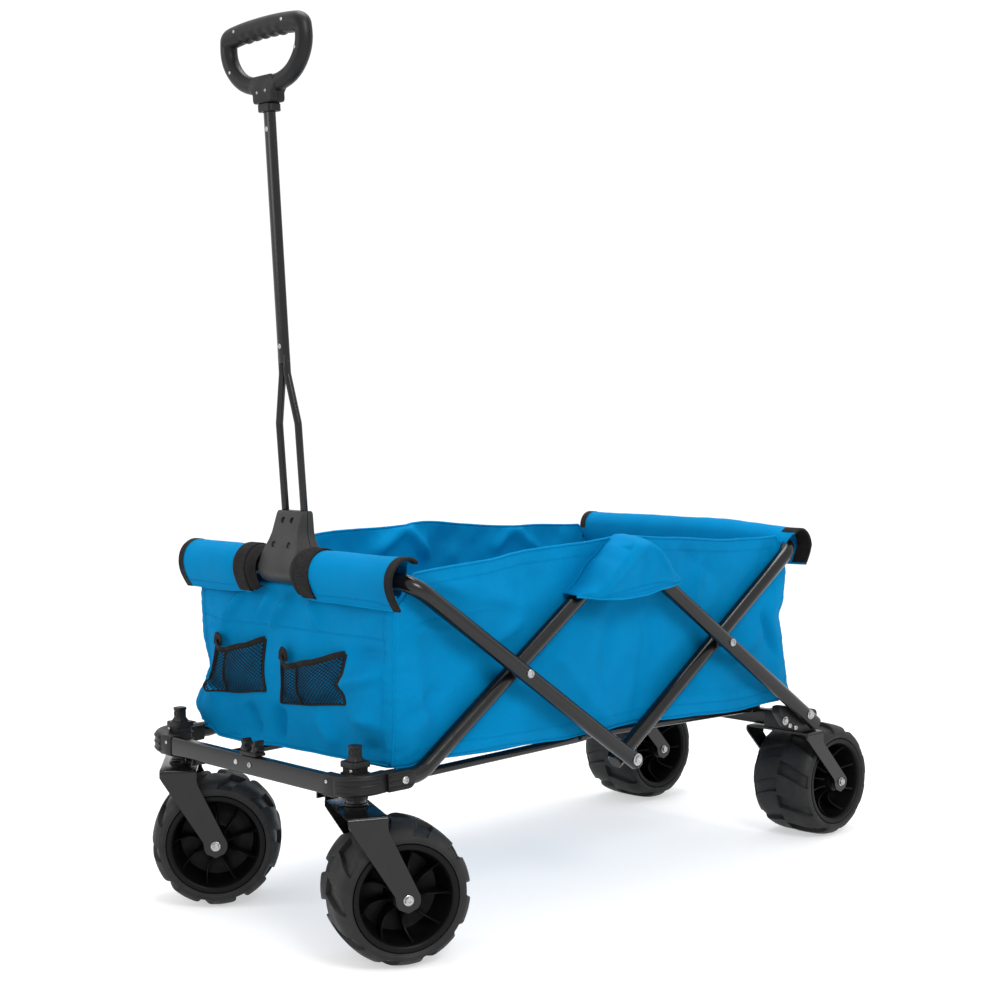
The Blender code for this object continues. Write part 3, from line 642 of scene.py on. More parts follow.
def middle_tube():
    """Cross tube between the bottom middle pivots, with a washer and a bolt at each end."""
    reach = INNER_X - TUBE_R - GAP
    end = OUTER_X + TUBE_R
    shells = [tube([(-reach, 0, PIVOT_MID[1]), (reach, 0, PIVOT_MID[1])], 0.0075)]
    for sign in (1, -1):
        washer = prism(circle(0.0105, 20), sign * reach - 0.0015, sign * reach + 0.0002, "X")
        shells.append(moved(washer, Matrix.Translation((0, 0, PIVOT_MID[1]))))
    piece("middle_tube", shells, STEEL, "front_frame")
    for side, sign in SIDES.items():
        piece("middle_bolt_" + side, hex_bolt((sign * end, *PIVOT_MID), (sign, 0, 0), 0.0055),
              ZINC, "front_frame")


def floor_rod(end, side, sign, body):
    """Half of a folding rod under the tub, with a flattened eye at its pin and at the middle."""
    x = sign * ROD_X[end]
    pin, middle = Vector((x, *ROD_PIN[end])), Vector((x, 0, ROD_MID_Z))
    way = (middle - pin).normalized()
    stop = middle + way * 0.011
    path = [pin - way * 0.006, pin + way * 0.008, pin + way * 0.02, middle - way * 0.022,
            middle - way * 0.01, stop]

    def scale(share):
        flat = {0: (0.55, 1.0), 1: (0.55, 1.0), 4: (0.6, 1.05), 5: (0.6, 0.9)}
        return flat.get(round(share * 5), (1, 1))
    rod = sweep(path, circle(0.006, 20), scale=scale)
    cap = lathe(in_mm((0, 0), (4.2, 0), (4.2, 1.6), (3, 2.2), (0, 2.2)),
                along((sign, 0, 0), (x + sign * 0.0034, middle.y, middle.z)), 16)
    name = f"floor_rod_{end}_{side}"
    piece(name, [rod, cap], STEEL, body)


# ---- bases and corners
def cross_bar(end, body):
    y, z, reach = BAR[end]
    section = rounded_rect(0.015, 0.025, 0.003, 3)
    shells = [sweep([(-reach, y, z), (reach, y, z)], section, side=(0, 1, 0))]
    pin_y, pin_z = ROD_PIN[end]
    toward = 1 if end == "front" else -1
    for sign in (1, -1):
        x = sign * ROD_X[end]
        for offset in (-0.0085, 0.0085):
            low_y, high_y = sorted((pin_y + toward * 0.006, y + toward * 0.0068))
            outline = [(low_y, pin_z - 0.005), (high_y, pin_z - 0.005), (high_y, pin_z + 0.011),
                       (low_y, pin_z + 0.007)]
            shells.append(prism(outline, x + offset - 0.0013, x + offset + 0.0013, "X", 0.0006))
        shells.append(moved(lathe(in_mm((0, -10.5), (3, -10.5), (3, 10.5), (0, 10.5))),
                            along((1, 0, 0), (x, pin_y, pin_z))))
    piece(end + "_cross_bar", shells, STEEL, body)


CHEEK_X = 0.2402      # outer face of the elbow beside the front hinge


def elbow(sign):
    """Ribbed plastic elbow from the bar's end round to the front arm's hinge."""
    y, z, reach = BAR["front"]
    hinge_y, hinge_z = FRONT_HINGE
    corner = (sign * (INNER_X + 0.0005), y + 0.0015, z + 0.0025)
    path = bend([(sign * (reach - 0.001), y + 0.0005, z + 0.0005), corner,
                 (sign * (INNER_X + 0.0005), hinge_y - 0.0185, hinge_z)], 0.0305, 14)
    body = sweep(path, rounded_rect(0.0195, 0.0262, 0.0035, 3), side=(0, 1, 0))
    shells = [bevelled(body, 0.0008, 2, 60)]
    out = [p + Vector((sign * 0.0092 * smooth(i, 2, 9), -0.0092 * (1 - smooth(i, 4, 11)), 0))
           for i, p in enumerate(path)]
    for level in (-0.0085, 0.0, 0.0085):
        shells.append(sweep([p + Vector((0, 0, level)) for p in out[1:-1]],
                            circle(0.0017, 10)))
    cheek = [(hinge_y - 0.026, hinge_z - 0.012), (hinge_y + 0.006, hinge_z - 0.012)]
    cheek += [(hinge_y + 0.006 + 0.012 * cos(a), hinge_z + 0.012 * sin(a))
              for a in [radians(d) for d in range(-75, 90, 15)]]
    cheek += [(hinge_y + 0.006, hinge_z + 0.012), (hinge_y - 0.026, hinge_z + 0.012)]
    low, high = sorted((sign * (INNER_X + TUBE_R + GAP), sign * CHEEK_X))
    shells.append(prism(cheek, low, high, "X", 0.0012))
    for level in (-0.0075, 0.0, 0.0075):
        reach = 0.012 if level else -0.008
        shells.append(sweep([(sign * CHEEK_X, hinge_y - 0.024, hinge_z + level),
                             (sign * CHEEK_X, hinge_y + reach, hinge_z + level)],
                            circle(0.0013, 10)))
    tongue = [(y + 0.012, z - 0.01), (hinge_y + 0.009, hinge_z - 0.0115),
              (hinge_y + 0.011, hinge_z), (hinge_y + 0.009, 0.2388), (y + 0.012, 0.2388)]
    inner = sorted((sign * 0.21, sign * (INNER_X - TUBE_R - GAP)))
    shells.append(prism(tongue, inner[0], inner[1], "X", 0.0008))
    return shells


def sleeve_on_bar(sign):
    """Plastic sleeve at an end of the front bar. Its small screw is made with the corner's screws.
    """
    y, z, reach = BAR["front"]
    section = rounded_rect(0.0178, 0.0278, 0.0032, 3)
    ends = [(sign * 0.168, y, z), (sign * (reach + 0.002), y, z)]
    return bevelled(sweep(ends, section, side=(0, 1, 0)), 0.0009, 2, 60)


def front_post(side, sign):
    x, y = sign * POST_X, POST_Y
    wide = 0.0245
    body = sweep([(x, y, 0.2058), (x, y, 0.2475)], rounded_rect(wide, wide, 0.004, 3))
    flange = sweep([(x, y, 0.2455), (x, y, 0.2462), (x, y, 0.252), (x, y, 0.253)],
                   rounded_rect(0.0285, 0.0285, 0.004, 3),
                   scale=lambda s: (0.96, 0.96) if s in (0, 1) else (1, 1))
    foot = lathe(in_mm((7, 205.6), (14.2, 205.6), (14.2, 210.5), (7, 210.5)),
                 Matrix.Translation((x, y, 0)), 28)
    link = block((min(x, sign * 0.2075), y - 0.0245, 0.2135),
                 (max(x, sign * 0.2075), y + 0.016, 0.238), 0.002)
    shells = [body, flange, foot, link, sleeve_on_bar(sign)]
    for level in (0.2145, 0.2265, 0.2365):
        rib = prism(rounded_rect(0.0285, 0.0285, 0.004, 3), level, level + 0.0022, "Z")
        shells.append(moved(rib, Matrix.Translation((x, y, 0))))
    piece("front_corner_" + side, shells, PLASTIC, "front_base")
    screws = pan_screw((x + sign * 0.0078, y - 0.013, 0.2425), (0, -1, 0), 0.0026, 0.0014)
    screws += pan_screw((sign * 0.178, BAR["front"][0] - 0.0089, 0.2296), (0, -1, 0), 0.0024,
                        0.0012)
    piece("corner_screws_" + side, screws, ZINC, "front_base")


def release_button(side, sign):
    """Square push button with a flared foot, a cap and a small round emboss."""
    x, y = sign * POST_X, POST_Y
    heights = [(0.2535, 1.3), (0.2552, 1.22), (0.2585, 0.94), (0.2685, 0.92), (0.2692, 1.02),
               (0.2718, 1.02), (0.2725, 0.95)]
    path = [(x, y, h) for h, _ in heights]
    shell = sweep(path, rounded_rect(0.0145, 0.0145, 0.003, 4),
                  scale=lambda s: [(w, w) for _, w in heights][round(s * 6)])
    mark = [lathe(in_mm((4.4, 0), (4.4, 0.9), (3, 0.9), (2.8, 0.3), (0, 0.3)),
                  along(way, (x + way[0] * 0.0065, y + way[1] * 0.0065, 0.2636)), 20)
            for way in ((0, -1, 0), (sign, 0, 0))]
    piece("caster_button_" + side, [shell, *mark], PLASTIC, "caster_button_" + side)


def handle_clip():
    """Clip with two splayed claws on the front bar, for the stowed handle."""
    y, z, _ = BAR["front"]
    top, x = z + 0.0125 + GAP, 0.012
    shells = [block((x - 0.0175, y - 0.0088, top), (x + 0.0175, y + 0.0088, top + 0.0052), 0.0018)]
    for sign in (1, -1):
        claw = in_mm((4, 3.5), (15, 3.5), (17.8, 8.5), (15, 13), (17, 20.5), (12.5, 21.2),
                     (9.8, 16.5), (6.8, 15), (8.5, 10.5), (5, 7.5))
        outline = [(x + sign * u, top + v) for u, v in claw]
        shells.append(prism(outline, y - 0.0072, y + 0.0072, "Y", 0.0011))
    piece("handle_clip", shells, PLASTIC, "front_base")
    screws = []
    for u in (-0.0148, 0.0153):
        screws += pan_screw((u, y - 0.0076, 0.2262), (0, -1, 0), 0.0036, 0.0018)
    piece("clip_screws", screws, ZINC, "front_base")


def rear_corner(side, sign):
    """Block on the rear fork with a side cheek that the rear arm bolts to."""
    foot, outside = FORK_TOP["rear"] + GAP, OUTER_X - TUBE_R - GAP
    near, far = (FORK_REAR_Y + offset for offset in FORK_Y["rear"])
    outline = [(0.35, 0.215), (0.3705, 0.1905), (near, foot), (0.447, foot), (0.447, 0.2065),
               (0.4425, 0.2108), (0.362, 0.2258), (0.351, 0.2258)]
    shells = [block((0.16, near + 0.0005, foot), (outside - 0.01, far, foot + 0.0285), 0.002),
              prism(outline, outside - 0.016, outside, "X", 0.0022)]
    inner = [(u + (0.3985 - u) * 0.22, v + (0.2035 - v) * 0.3) for u, v in outline]
    shells.append(prism(inner, outside - 0.019, outside - 0.0155, "X", 0.001))
    piece("rear_corner_" + side, [side_of(s, sign) for s in shells], PLASTIC, "rear_base")
    face = sign * outside
    bolts = hex_bolt((face, 0.3643, 0.2024), (sign, 0, 0), 0.0042, 0.003, 0.0068)
    for y, z in ((0.376, 0.1935), (0.3905, 0.1885)):
        bolts += pan_screw((face, y, z), (sign, 0, 0), 0.0042, 0.0022)
    bolts += pan_screw((face, 0.433, 0.1835), (sign, 0, 0), 0.0036, 0.002)
    bolts += hex_bolt((sign * (OUTER_X + TUBE_R), *REAR_HINGE), (sign, 0, 0), 0.005, 0.0034,
                      0.0072)
    piece("rear_corner_bolts_" + side, bolts, ZINC, "rear_base")


def make_bases():
    cross_bar("front", "front_base")
    cross_bar("rear", "rear_base")
    handle_clip()
    for side, sign in SIDES.items():
        front_post(side, sign)
        release_button(side, sign)
        rear_corner(side, sign)
        piece("front_side_bracket_" + side, elbow(sign), PLASTIC, "front_base")
        hinge = (sign * CHEEK_X, *FRONT_HINGE)
        piece("front_hinge_bolt_" + side, socket_rivet(hinge, (sign, 0, 0), 0.0052, 0.0026), ZINC,
              "front_base")


# ---- forks and wheels
def swivel_place(sign):
    wheel = Vector(JOINTS["front_wheel_" + ("left" if sign > 0 else "right")]["pos_m"]) - OFFSET
    trail = wheel - Vector((sign * POST_X, POST_Y, wheel.z))
    turn = atan2(trail.x, trail.y)
    return Matrix.Translation((sign * POST_X, POST_Y, 0)) @ Matrix.Rotation(-turn, 4, "Z")


def fork_shells(end):
    """Folded sheet: a top plate that turns down into two legs, rounded at the axle."""
    near, far = FORK_Y[end]
    top, bend_r, levels = FORK_TOP[end], 0.004, 22
    half = []
    for a in [pi / 2 * i / 4 for i in range(4, -1, -1)]:
        half.append((FORK_WIDE - bend_r + bend_r * cos(a), top - bend_r + bend_r * sin(a),
                     near, far))
    for share in [i / levels for i in range(levels + 1)]:
        z = mix(top - bend_r, WHEEL_R - 0.016, share)
        half.append((FORK_WIDE, z, leg_edge(z, top, near, -1), leg_edge(z, top, far, 1)))
    lines = []
    for sign, rows in ((-1, half[::-1]), (1, half)):
        for x, z, low, high in rows:
            lines.append([Vector((sign * x, mix(low, high, i / 5), z)) for i in range(6)])
    return solid_sheet(lines, FORK_SHEET)


def leg_edge(z, top, edge, side):
    """Where a leg's front or back edge is at a height: it runs to the rounded axle end."""
    radius = 0.016
    shoulder = top - (0.01 if side < 0 else 0.018)
    if z > shoulder:
        return edge
    low = WHEEL_R + (0.0045 if side < 0 else 0.0035)
    touch = TRAIL + side * radius
    if z > low:
        return mix(touch, edge, (z - low) / (shoulder - low))
    inside = max(radius * radius - (z - WHEEL_R) ** 2, 0)
    return TRAIL + side * max(sqrt(inside), 0.0004)


def solid_sheet(lines, thickness):
    """Gives rows of points a thickness on the inner side."""
    count, wide = len(lines), len(lines[0])
    outer = [v for line in lines for v in line]
    inner = []
    for i, line in enumerate(lines):
        ahead = lines[min(i + 1, count - 1)][wide // 2]
        behind = lines[max(i - 1, 0)][wide // 2]
        way = Vector((ahead.x - behind.x, 0, ahead.z - behind.z)).normalized()
        normal = Vector((-way.z, 0, way.x))
        inner += [v - normal * thickness for v in line]
    faces = []
    for i in range(count - 1):
        for j in range(wide - 1):
            a, b = i * wide + j, (i + 1) * wide + j
            faces.append([a, a + 1, b + 1, b])
            faces.append([len(outer) + b, len(outer) + b + 1, len(outer) + a + 1,
                          len(outer) + a])
    rim = [(i, 0) for i in range(count)] + [(count - 1, j) for j in range(1, wide)]
    rim += [(i, wide - 1) for i in range(count - 2, -1, -1)] + [(0, j) for j in
                                                                range(wide - 2, 0, -1)]
    loop = [i * wide + j for i, j in rim]
    for a, b in zip(loop, loop[1:] + loop[:1]):
        faces.append([a, b, b + len(outer), a + len(outer)])
    return bevelled((outer + inner, faces), 0.0006, 2, 55)


def wheel_bolt(place):
    """Axle with a hexagon head, a washer and a nut, along local X."""
    shells = [lathe(in_mm((0, -61), (4.2, -61), (4.2, 61), (0, 61)),
                    along((1, 0, 0), (0, TRAIL, WHEEL_R)), 16)]
    for sign in (1, -1):
        shells += hex_bolt((sign * (FORK_WIDE + 0.0001), TRAIL, WHEEL_R), (sign, 0, 0), 0.0046,
                           0.0042, 0.0066)
    return [moved(shell, place) for shell in shells]


def spacer(place):
    """Nylon spacers between the hub and the legs."""
    shells = []
    for sign in (1, -1):
        ring = in_mm((4.6, 0), (8.5, 0), (8.5, 4.8), (4.6, 4.8))
        shells.append(lathe(ring, along((sign, 0, 0), (sign * 0.0523, TRAIL, WHEEL_R)), 20))
    return [moved(shell, place) for shell in shells]


def make_fork(end, place, body, stem, node):
    top = FORK_TOP[end]
    shells = [fork_shells(end)]
    shells.append(lathe([(0, top - 0.004), (0.006, top - 0.004), (0.006, stem), (0, stem)],
                        Matrix.Translation((0, 0 if end == "front" else -0.0175, 0)), 20))
    if end == "front":
        shells.append(lathe([(0.006, top), (0.016, top), (0.016, top + 0.0022),
                             (0.0145, top + 0.004), (0.0145, top + 0.0058),
                             (0.0128, top + 0.0064), (0.0128, top + 0.01), (0.006, top + 0.01)],
                            Matrix(), 32))
    piece(node, [moved(shell, place) for shell in shells + spacer(Matrix())], STEEL, body)


LUGS = 10       # lugs round each half of a tyre
EDGE = 0.012    # share of a lug's pitch that its walls take
STEPS = [-EDGE, EDGE, 0.06, 0.12 - EDGE, 0.12 + EDGE, 0.25, 0.37, 0.5 - EDGE, 0.5 + EDGE,
         0.56, 0.62 - EDGE, 0.62 + EDGE, 0.75, 0.87]
TREAD = in_mm((0.4, 89, 6.2), (10, 88.9, 6.2), (20, 88.6, 6.2), (30, 88, 6), (38, 86.8, 5.8),
              (44.5, 84.6, 5.4), (49.2, 81.8, 4.8), (52, 78.8, 4), (53.3, 77.6, 0.8),
              (54.1, 74.5, 0), (54.3, 72.2, 0), (53.8, 71.2, 0), (53.4, 70.4, 0), (53.6, 69.6, 0),
              (53, 68.6, 0), (51.5, 68.1, 0))


def tyre_shell():
    """Knobbly tyre about local X: two rows of slanted lugs that wrap onto its sides."""
    rows = [(-x, r, d, -1) for x, r, d in reversed(TREAD)] + [(x, r, d, 1) for x, r, d in TREAD]
    columns = [(lug + step) / LUGS for lug in range(LUGS) for step in STEPS]
    lines = []
    for share in columns:
        phase = (share * LUGS) % 1.0
        line = []
        for x, radius, depth, half in rows:
            high = phase < 0.62 if half > 0 else (phase > 0.5 or phase < 0.12)
            drop = 0 if high else depth
            lean = 0.034 * (abs(x) / 0.0545) ** 1.6
            a = 2 * pi * (share + lean)
            side = smooth(abs(x), 0.036, 0.053) * (1 if x > 0 else -1)
            r = radius - drop * (1 - 0.55 * abs(side))
            wide = x - side * drop * 0.75
            line.append(Vector((wide, r * cos(a), r * sin(a))))
        lines.append(line)
    verts, faces = grid(lines, closed=True)
    wide, count = len(rows), len(lines)
    for i in range(count):
        a, b = i * wide, (i + 1) % count * wide
        faces.append([a + wide - 1, a, b, b + wide - 1])
    return verts, faces


FINS = 9        # thin fins on each side of a rim


def rim_shells():
    """Rim about local X: an outer ring, a deep cone on each side with thin fins, and a hub."""
    half = in_mm((67.6, 50), (67.6, 51.5), (66.8, 52.8), (64, 53), (61.8, 52.6), (60.2, 51.6),
                 (59, 49.6), (58, 44), (56.6, 28), (54.5, 17), (50, 10.5), (42, 8), (25, 8.5),
                 (19, 12), (17.2, 22), (16.8, 47), (16, 49.5), (12, 50.2), (11.2, 49), (5, 49))
    profile = half + [(r, -x) for r, x in reversed(half)]
    shells = [lathe(profile + [profile[0]], along((1, 0, 0)), 72)]
    for sign in (1, -1):
        for fin in range(FINS):
            shells.append(fin_shell(2 * pi * (fin + 0.3 * (sign < 0)) / FINS, sign))
    return shells


def fin_shell(turn, sign):
    """A thin fin from the hub to the cone, with a hollowed edge, slightly curved."""
    rows = []
    count = 10
    for side in (-1, 1):
        line_top, line_foot = [], []
        for i in range(count + 1):
            share = i / count
            radius = mix(0.015, 0.0595, share)
            edge = mix(0.044, 0.047, share) - 0.0185 * sin(pi * share) ** 0.8
            thick = 0.0011 + 0.0012 * (abs(share - 0.5) * 2) ** 4
            a = turn + 0.16 * share * share + side * thick / radius
            for line, x in ((line_top, edge), (line_foot, 0.006)):
                line.append(Vector((sign * x, radius * cos(a), radius * sin(a))))
        rows += [line_foot, line_top] if side < 0 else [line_top, line_foot]
    verts, faces = grid(rows)
    wide = count + 1
    faces.append([0, wide, 2 * wide, 3 * wide])
    faces.append([wide - 1, 2 * wide - 1, 3 * wide - 1, 4 * wide - 1][::-1])
    return bevelled((verts, faces), 0.0004, 1, 50)


def make_wheels():
    tyre, rim = tyre_shell(), merge(rim_shells())
    for side, sign in SIDES.items():
        still = Matrix.Translation((sign * FORK_X, FORK_REAR_Y, 0))
        for end, place, base in (("front", swivel_place(sign), "swivel_" + side),
                                 ("rear", still, "rear_base")):
            node = ("caster_fork_" if end == "front" else "rear_fork_") + side
            make_fork(end, place, base, 0.2315 if end == "front" else 0.1985, node)
            piece(f"{end}_axle_{side}", wheel_bolt(place), ZINC, base)
            spin = place @ Matrix.Translation((0, TRAIL, WHEEL_R))
            spin = spin @ Matrix.Rotation(0.35 + 0.9 * sign + (1.7 if end == "rear" else 0), 4,
                                          "X")
            body = f"{end}_wheel_{side}"
            piece(f"tyre_{end}_{side}", [moved(tyre, spin)], RUBBER, body, angle=24)
            piece(f"rim_{end}_{side}", [moved(rim, spin)], RIM, body)


# ---- pull handle
def lean_place(height):
    """Frame on the handle's axis at a height, leaning with it."""
    y = HANDLE_FOOT.y - (height - HANDLE_FOOT.z) * tan(HANDLE_LEAN)
    return Matrix.Translation((0, y, height)) @ Matrix.Rotation(HANDLE_LEAN, 4, "X")


def bracket_outline():
    arc = [radians(a) for a in range(160, 365, 8)]
    slim = [BRACKET_R - 0.007 * sin(min(max(a - radians(185), 0), pi)) for a in arc]
    points = [(-RAIL_Y + r * cos(a), RAIL_Z + r * sin(a)) for r, a in zip(slim, arc)]
    return points + [(-0.3822, BRACKET_TOP - 0.003), (-0.3845, BRACKET_TOP),
                     (-0.3985, BRACKET_TOP), (-0.401, BRACKET_TOP - 0.0035)]


def bracket_half(low, high):
    """Half of the two-part bracket: a barrel on the rail with a wedge up to the rods."""
    made = opened(prism(bracket_outline(), -BRACKET_HALF, BRACKET_HALF, "X"))
    for level in range(7):
        bmesh.ops.bisect_plane(made, geom=everything(made), plane_no=(0, 0, 1),
                               plane_co=(0, 0, RAIL_Z + 0.01 + 0.01 * level))
    for v in made.verts:
        v.co.x *= 1 - BRACKET_TAPER * smooth(v.co.z, RAIL_Z + 0.018, RAIL_Z + 0.05)
    for plane, keep in ((low, 1), (high, -1)):
        if plane is not None:
            bmesh.ops.bisect_plane(made, geom=everything(made), plane_co=(0, plane, 0),
                                   plane_no=(0, -keep, 0), clear_outer=True)
            bmesh.ops.holes_fill(made, edges=[e for e in made.edges if e.is_boundary])
    return bevelled(finished(made), 0.0022, 3, 40)


def carve(obj, tool):
    """Cuts one object's shape from another and keeps the result."""
    change = obj.modifiers.new("Cut", "BOOLEAN")
    change.operation, change.solver, change.object = "DIFFERENCE", "EXACT", tool
    apply(obj)
    bpy.data.objects.remove(tool, do_unlink=True)
    smoothed(obj, 32)


def make_bracket():
    joint_y = -0.3912
    faces = {"front": (None, joint_y), "rear": (joint_y + 0.0006, None)}
    slope = Vector((0, -0.401, BRACKET_TOP)) - Vector((0, -0.4225, RAIL_Z + 0.02))
    normal = Vector((0, -slope.z, slope.y)).normalized()
    for name, (low, high) in faces.items():
        obj = piece("handle_bracket_" + name, [bracket_half(low, high)], BRACKET, "handle")
        bores = [lathe([(0, -0.06), (TUBE_R + GAP, -0.06), (TUBE_R + GAP, 0.06), (0, 0.06)],
                       along((1, 0, 0), (0, -RAIL_Y, RAIL_Z)), 32)]
        for sign in (1, -1):
            bores.append(lathe(in_mm((0, -4), (5.6, -4), (5.6, 50), (0, 50)),
                               along((0, -0.071, 1), (sign * 0.0205, -0.3887, 0.516)), 20))
        carve(obj, solid("bores", bores))
        if name == "rear":
            continue
        wells, screws = [], []
        for wide, share in ((0.0165, 0.26), (0.0095, 0.8)):
            for x in (-wide, wide):
                spot = Vector((x, -0.4225, RAIL_Z + 0.02)) + slope * share
                wells.append(lathe(in_mm((0, -4.5), (4.2, -4.5), (4.6, 4), (0, 4)),
                                   along(normal, spot), 20))
                screws += pan_screw(spot - normal * 0.0044, normal, 0.0034, 0.0016)
        carve(obj, solid("wells", wells))
        piece("bracket_screws", screws, STEEL, "handle")


def handle_rods():
    for side, sign in SIDES.items():
        low = Vector((sign * 0.0205, -0.3887, 0.516))
        turn = Vector((sign * 0.0205, -0.3995, 0.668))
        top = lean_place(HANDLE_FOOT.z + 0.012) @ Vector((sign * 0.0052, 0, 0))
        neck = lean_place(HANDLE_FOOT.z - 0.014) @ Vector((sign * 0.0052, 0, 0))
        path = bend([low, turn, neck, top], 0.016, 8)
        piece("handle_rod_" + side, [tube(path, 0.005)], STEEL, "handle")


def handle_tube():
    """Oval tube, pinched at its foot where it grips the rods, with two rivets."""
    section = circle(0.0105, 32, 0.58)
    place = lean_place(HANDLE_FOOT.z)
    length = (GRIP_BASE_Z - HANDLE_FOOT.z) / cos(HANDLE_LEAN)
    heights = [0.0, 0.0015, 0.01, 0.03, 0.04, length - 0.01, length]
    widths = [(0.96, 0.9), (1.0, 0.97), (1.02, 0.98), (1.02, 0.98), (1, 1), (1, 1), (1, 1)]
    path = [place @ Vector((0, 0, h)) for h in heights]
    shell = sweep(path, section, scale=lambda s: widths[round(s * 6)])
    piece("handle_tube", [shell], STEEL, "handle")
    rivets = []
    for height in (0.77, 1.051):
        here = lean_place(height)
        for way in (-1, 1):
            spot = here @ Vector((0, way * 0.006, 0))
            rivets += pan_screw(spot, here.to_3x3() @ Vector((0, way, 0)), 0.0034, 0.0014)
    piece("handle_rivets", rivets, ZINC, "handle")


def cut_corners(points):
    """One round of corner cutting, which keeps the ends."""
    made = [points[0]]
    for a, b in zip(points, points[1:]):
        made += [a.lerp(b, 0.25), a.lerp(b, 0.75)]
    return made + [points[-1]]


def make_grip():
    """Collar, neck and D-grip with finger grooves, in two halves that meet at a seam."""
    place = lean_place(GRIP_BASE_Z)
    collar = sweep([(0, 0, GAP), (0, 0, 0.0012), (0, 0, 0.0095), (0, 0, 0.0108)],
                   rounded_rect(0.029, 0.021, 0.006, 4),
                   scale=lambda s: (0.93, 0.93) if s in (0, 1) else (1, 1))
    piece("handle_collar", [moved(collar, place)], PLASTIC, "handle")
    half = [Vector((x, 0, z)) for x, z in
            ((0, 0.1085), (0.03, 0.1081), (0.058, 0.1063), (0.0805, 0.1035), (0.0825, 0.082),
             (0.0745, 0.063), (0.056, 0.045), (0.03, 0.036), (0, 0.0345))]
    for _ in range(3):
        half = cut_corners(half)
    fine = []
    for a, b in zip(half, half[1:]):
        count = max(1, int((b - a).length / 0.004))
        fine += [a.lerp(b, i / count) for i in range(count)]
    fine.append(half[-1])
    loop = fine[:-1] + [Vector((-p.x, p.y, p.z)) for p in reversed(fine[1:])]
    verts, faces = sweep(loop, circle(1.0, 32), closed=True, side=(0, 1, 0))
    shaped = []
    for i, v in enumerate(verts):
        centre = loop[i // 32]
        away = v - centre
        top = smooth(centre.z, 0.094, 0.104)
        radius = mix(0.0115, 0.0135, top)
        if top > 0.5 and away.z < 0:
            groove = cos(2 * pi * centre.x / 0.019)
            held = 1 - smooth(abs(centre.x), 0.046, 0.053)
            radius += 0.0016 * groove * held * -away.z
        shaped.append(centre + Vector((away.x * radius, away.y * radius * 0.98,
                                       away.z * radius)))
    loop_shell = (shaped, faces)
    outline = in_mm((-18.5, 11.3), (18.5, 11.3), (20.5, 15), (20.5, 23), (30, 33), (21.5, 46.5),
                    (-21.5, 46.5), (-30, 33), (-20.5, 23), (-20.5, 15))
    neck = prism(outline, -0.0115, 0.0115, "Y", 0.004)
    seam = GAP / 2
    for name, way in (("front", -1), ("rear", 1)):
        shells = [half_of(loop_shell, way, seam), half_of(neck, way, seam)]
        piece("grip_" + name, [moved(shell, place) for shell in shells], PLASTIC, "handle")
    screws = []
    for x, z in ((-0.051, 0.1095), (0.053, 0.1095), (-0.068, 0.059), (0.0745, 0.072),
                 (-0.01, 0.0255), (0.008, 0.0265)):
        deep = 0.0126 if z > 0.1 else 0.0106
        screws += pan_screw((x, -deep, z), (0, -1, 0), 0.0022, 0.0012)
    piece("grip_screws", [moved(shell, place) for shell in screws], ZINC, "handle")


def half_of(shell, way, seam):
    """The part of a closed shell on one side of the seam, capped."""
    made = opened(shell)
    bmesh.ops.bisect_plane(made, geom=everything(made), plane_co=(0, way * seam, 0),
                           plane_no=(0, -way, 0), clear_outer=True)
    edges = [e for e in made.edges if e.is_boundary]
    bmesh.ops.triangle_fill(made, use_beauty=True, edges=edges)
    return finished(made)


# ---- tub of woven fabric
# Edges of the cloth as (along, up), and corner seams as (up, sideways out, lengthways out).
HEM = in_mm((-405, 240), (-379, 238), (-352, 242), (-303, 242.5), (-226, 242.7), (-166, 240.5),
            (-105, 238), (-69, 240), (40, 239), (149, 235.5), (266, 230), (361, 233.5), (405, 239))
TOP_EDGE = in_mm((-405, 440), (-392, 455), (-380, 482), (-262, 489), (-172, 498), (-74, 502),
                 (14, 506), (111, 498), (247, 487), (380, 485.5), (392, 458), (405, 440))
FRONT_HEM = in_mm((-200, 252), (-155, 234), (-80, 232), (-20, 238), (100, 240.5), (204, 243.6),
                  (215, 244))
SEAMS = {
    ("front", 1): in_mm((240, 6, 0), (300, 16, 4), (360, 15, 3), (440, 12, 0)),
    ("front", -1): in_mm((240, -16, 0), (273, 0, 5), (325, -26, -3), (375, -14, 0), (443, -10, 0)),
    ("rear", 1): in_mm((235, 4, 0), (255, 6, -12), (325, 8, -27), (365, 8, -36), (385, 6, -22),
                       (444, 4, -12)),
    ("rear", -1): in_mm((235, 4, 0), (270, 6, -10), (330, 6, -20), (380, 5, -14), (444, 4, -8)),
}
def creases(*rows):
    """(start, end, height, width) of each crease, from rows of six lengths in millimetres."""
    return [(row[:2], row[2:4], *row[4:]) for row in in_mm(*rows)]


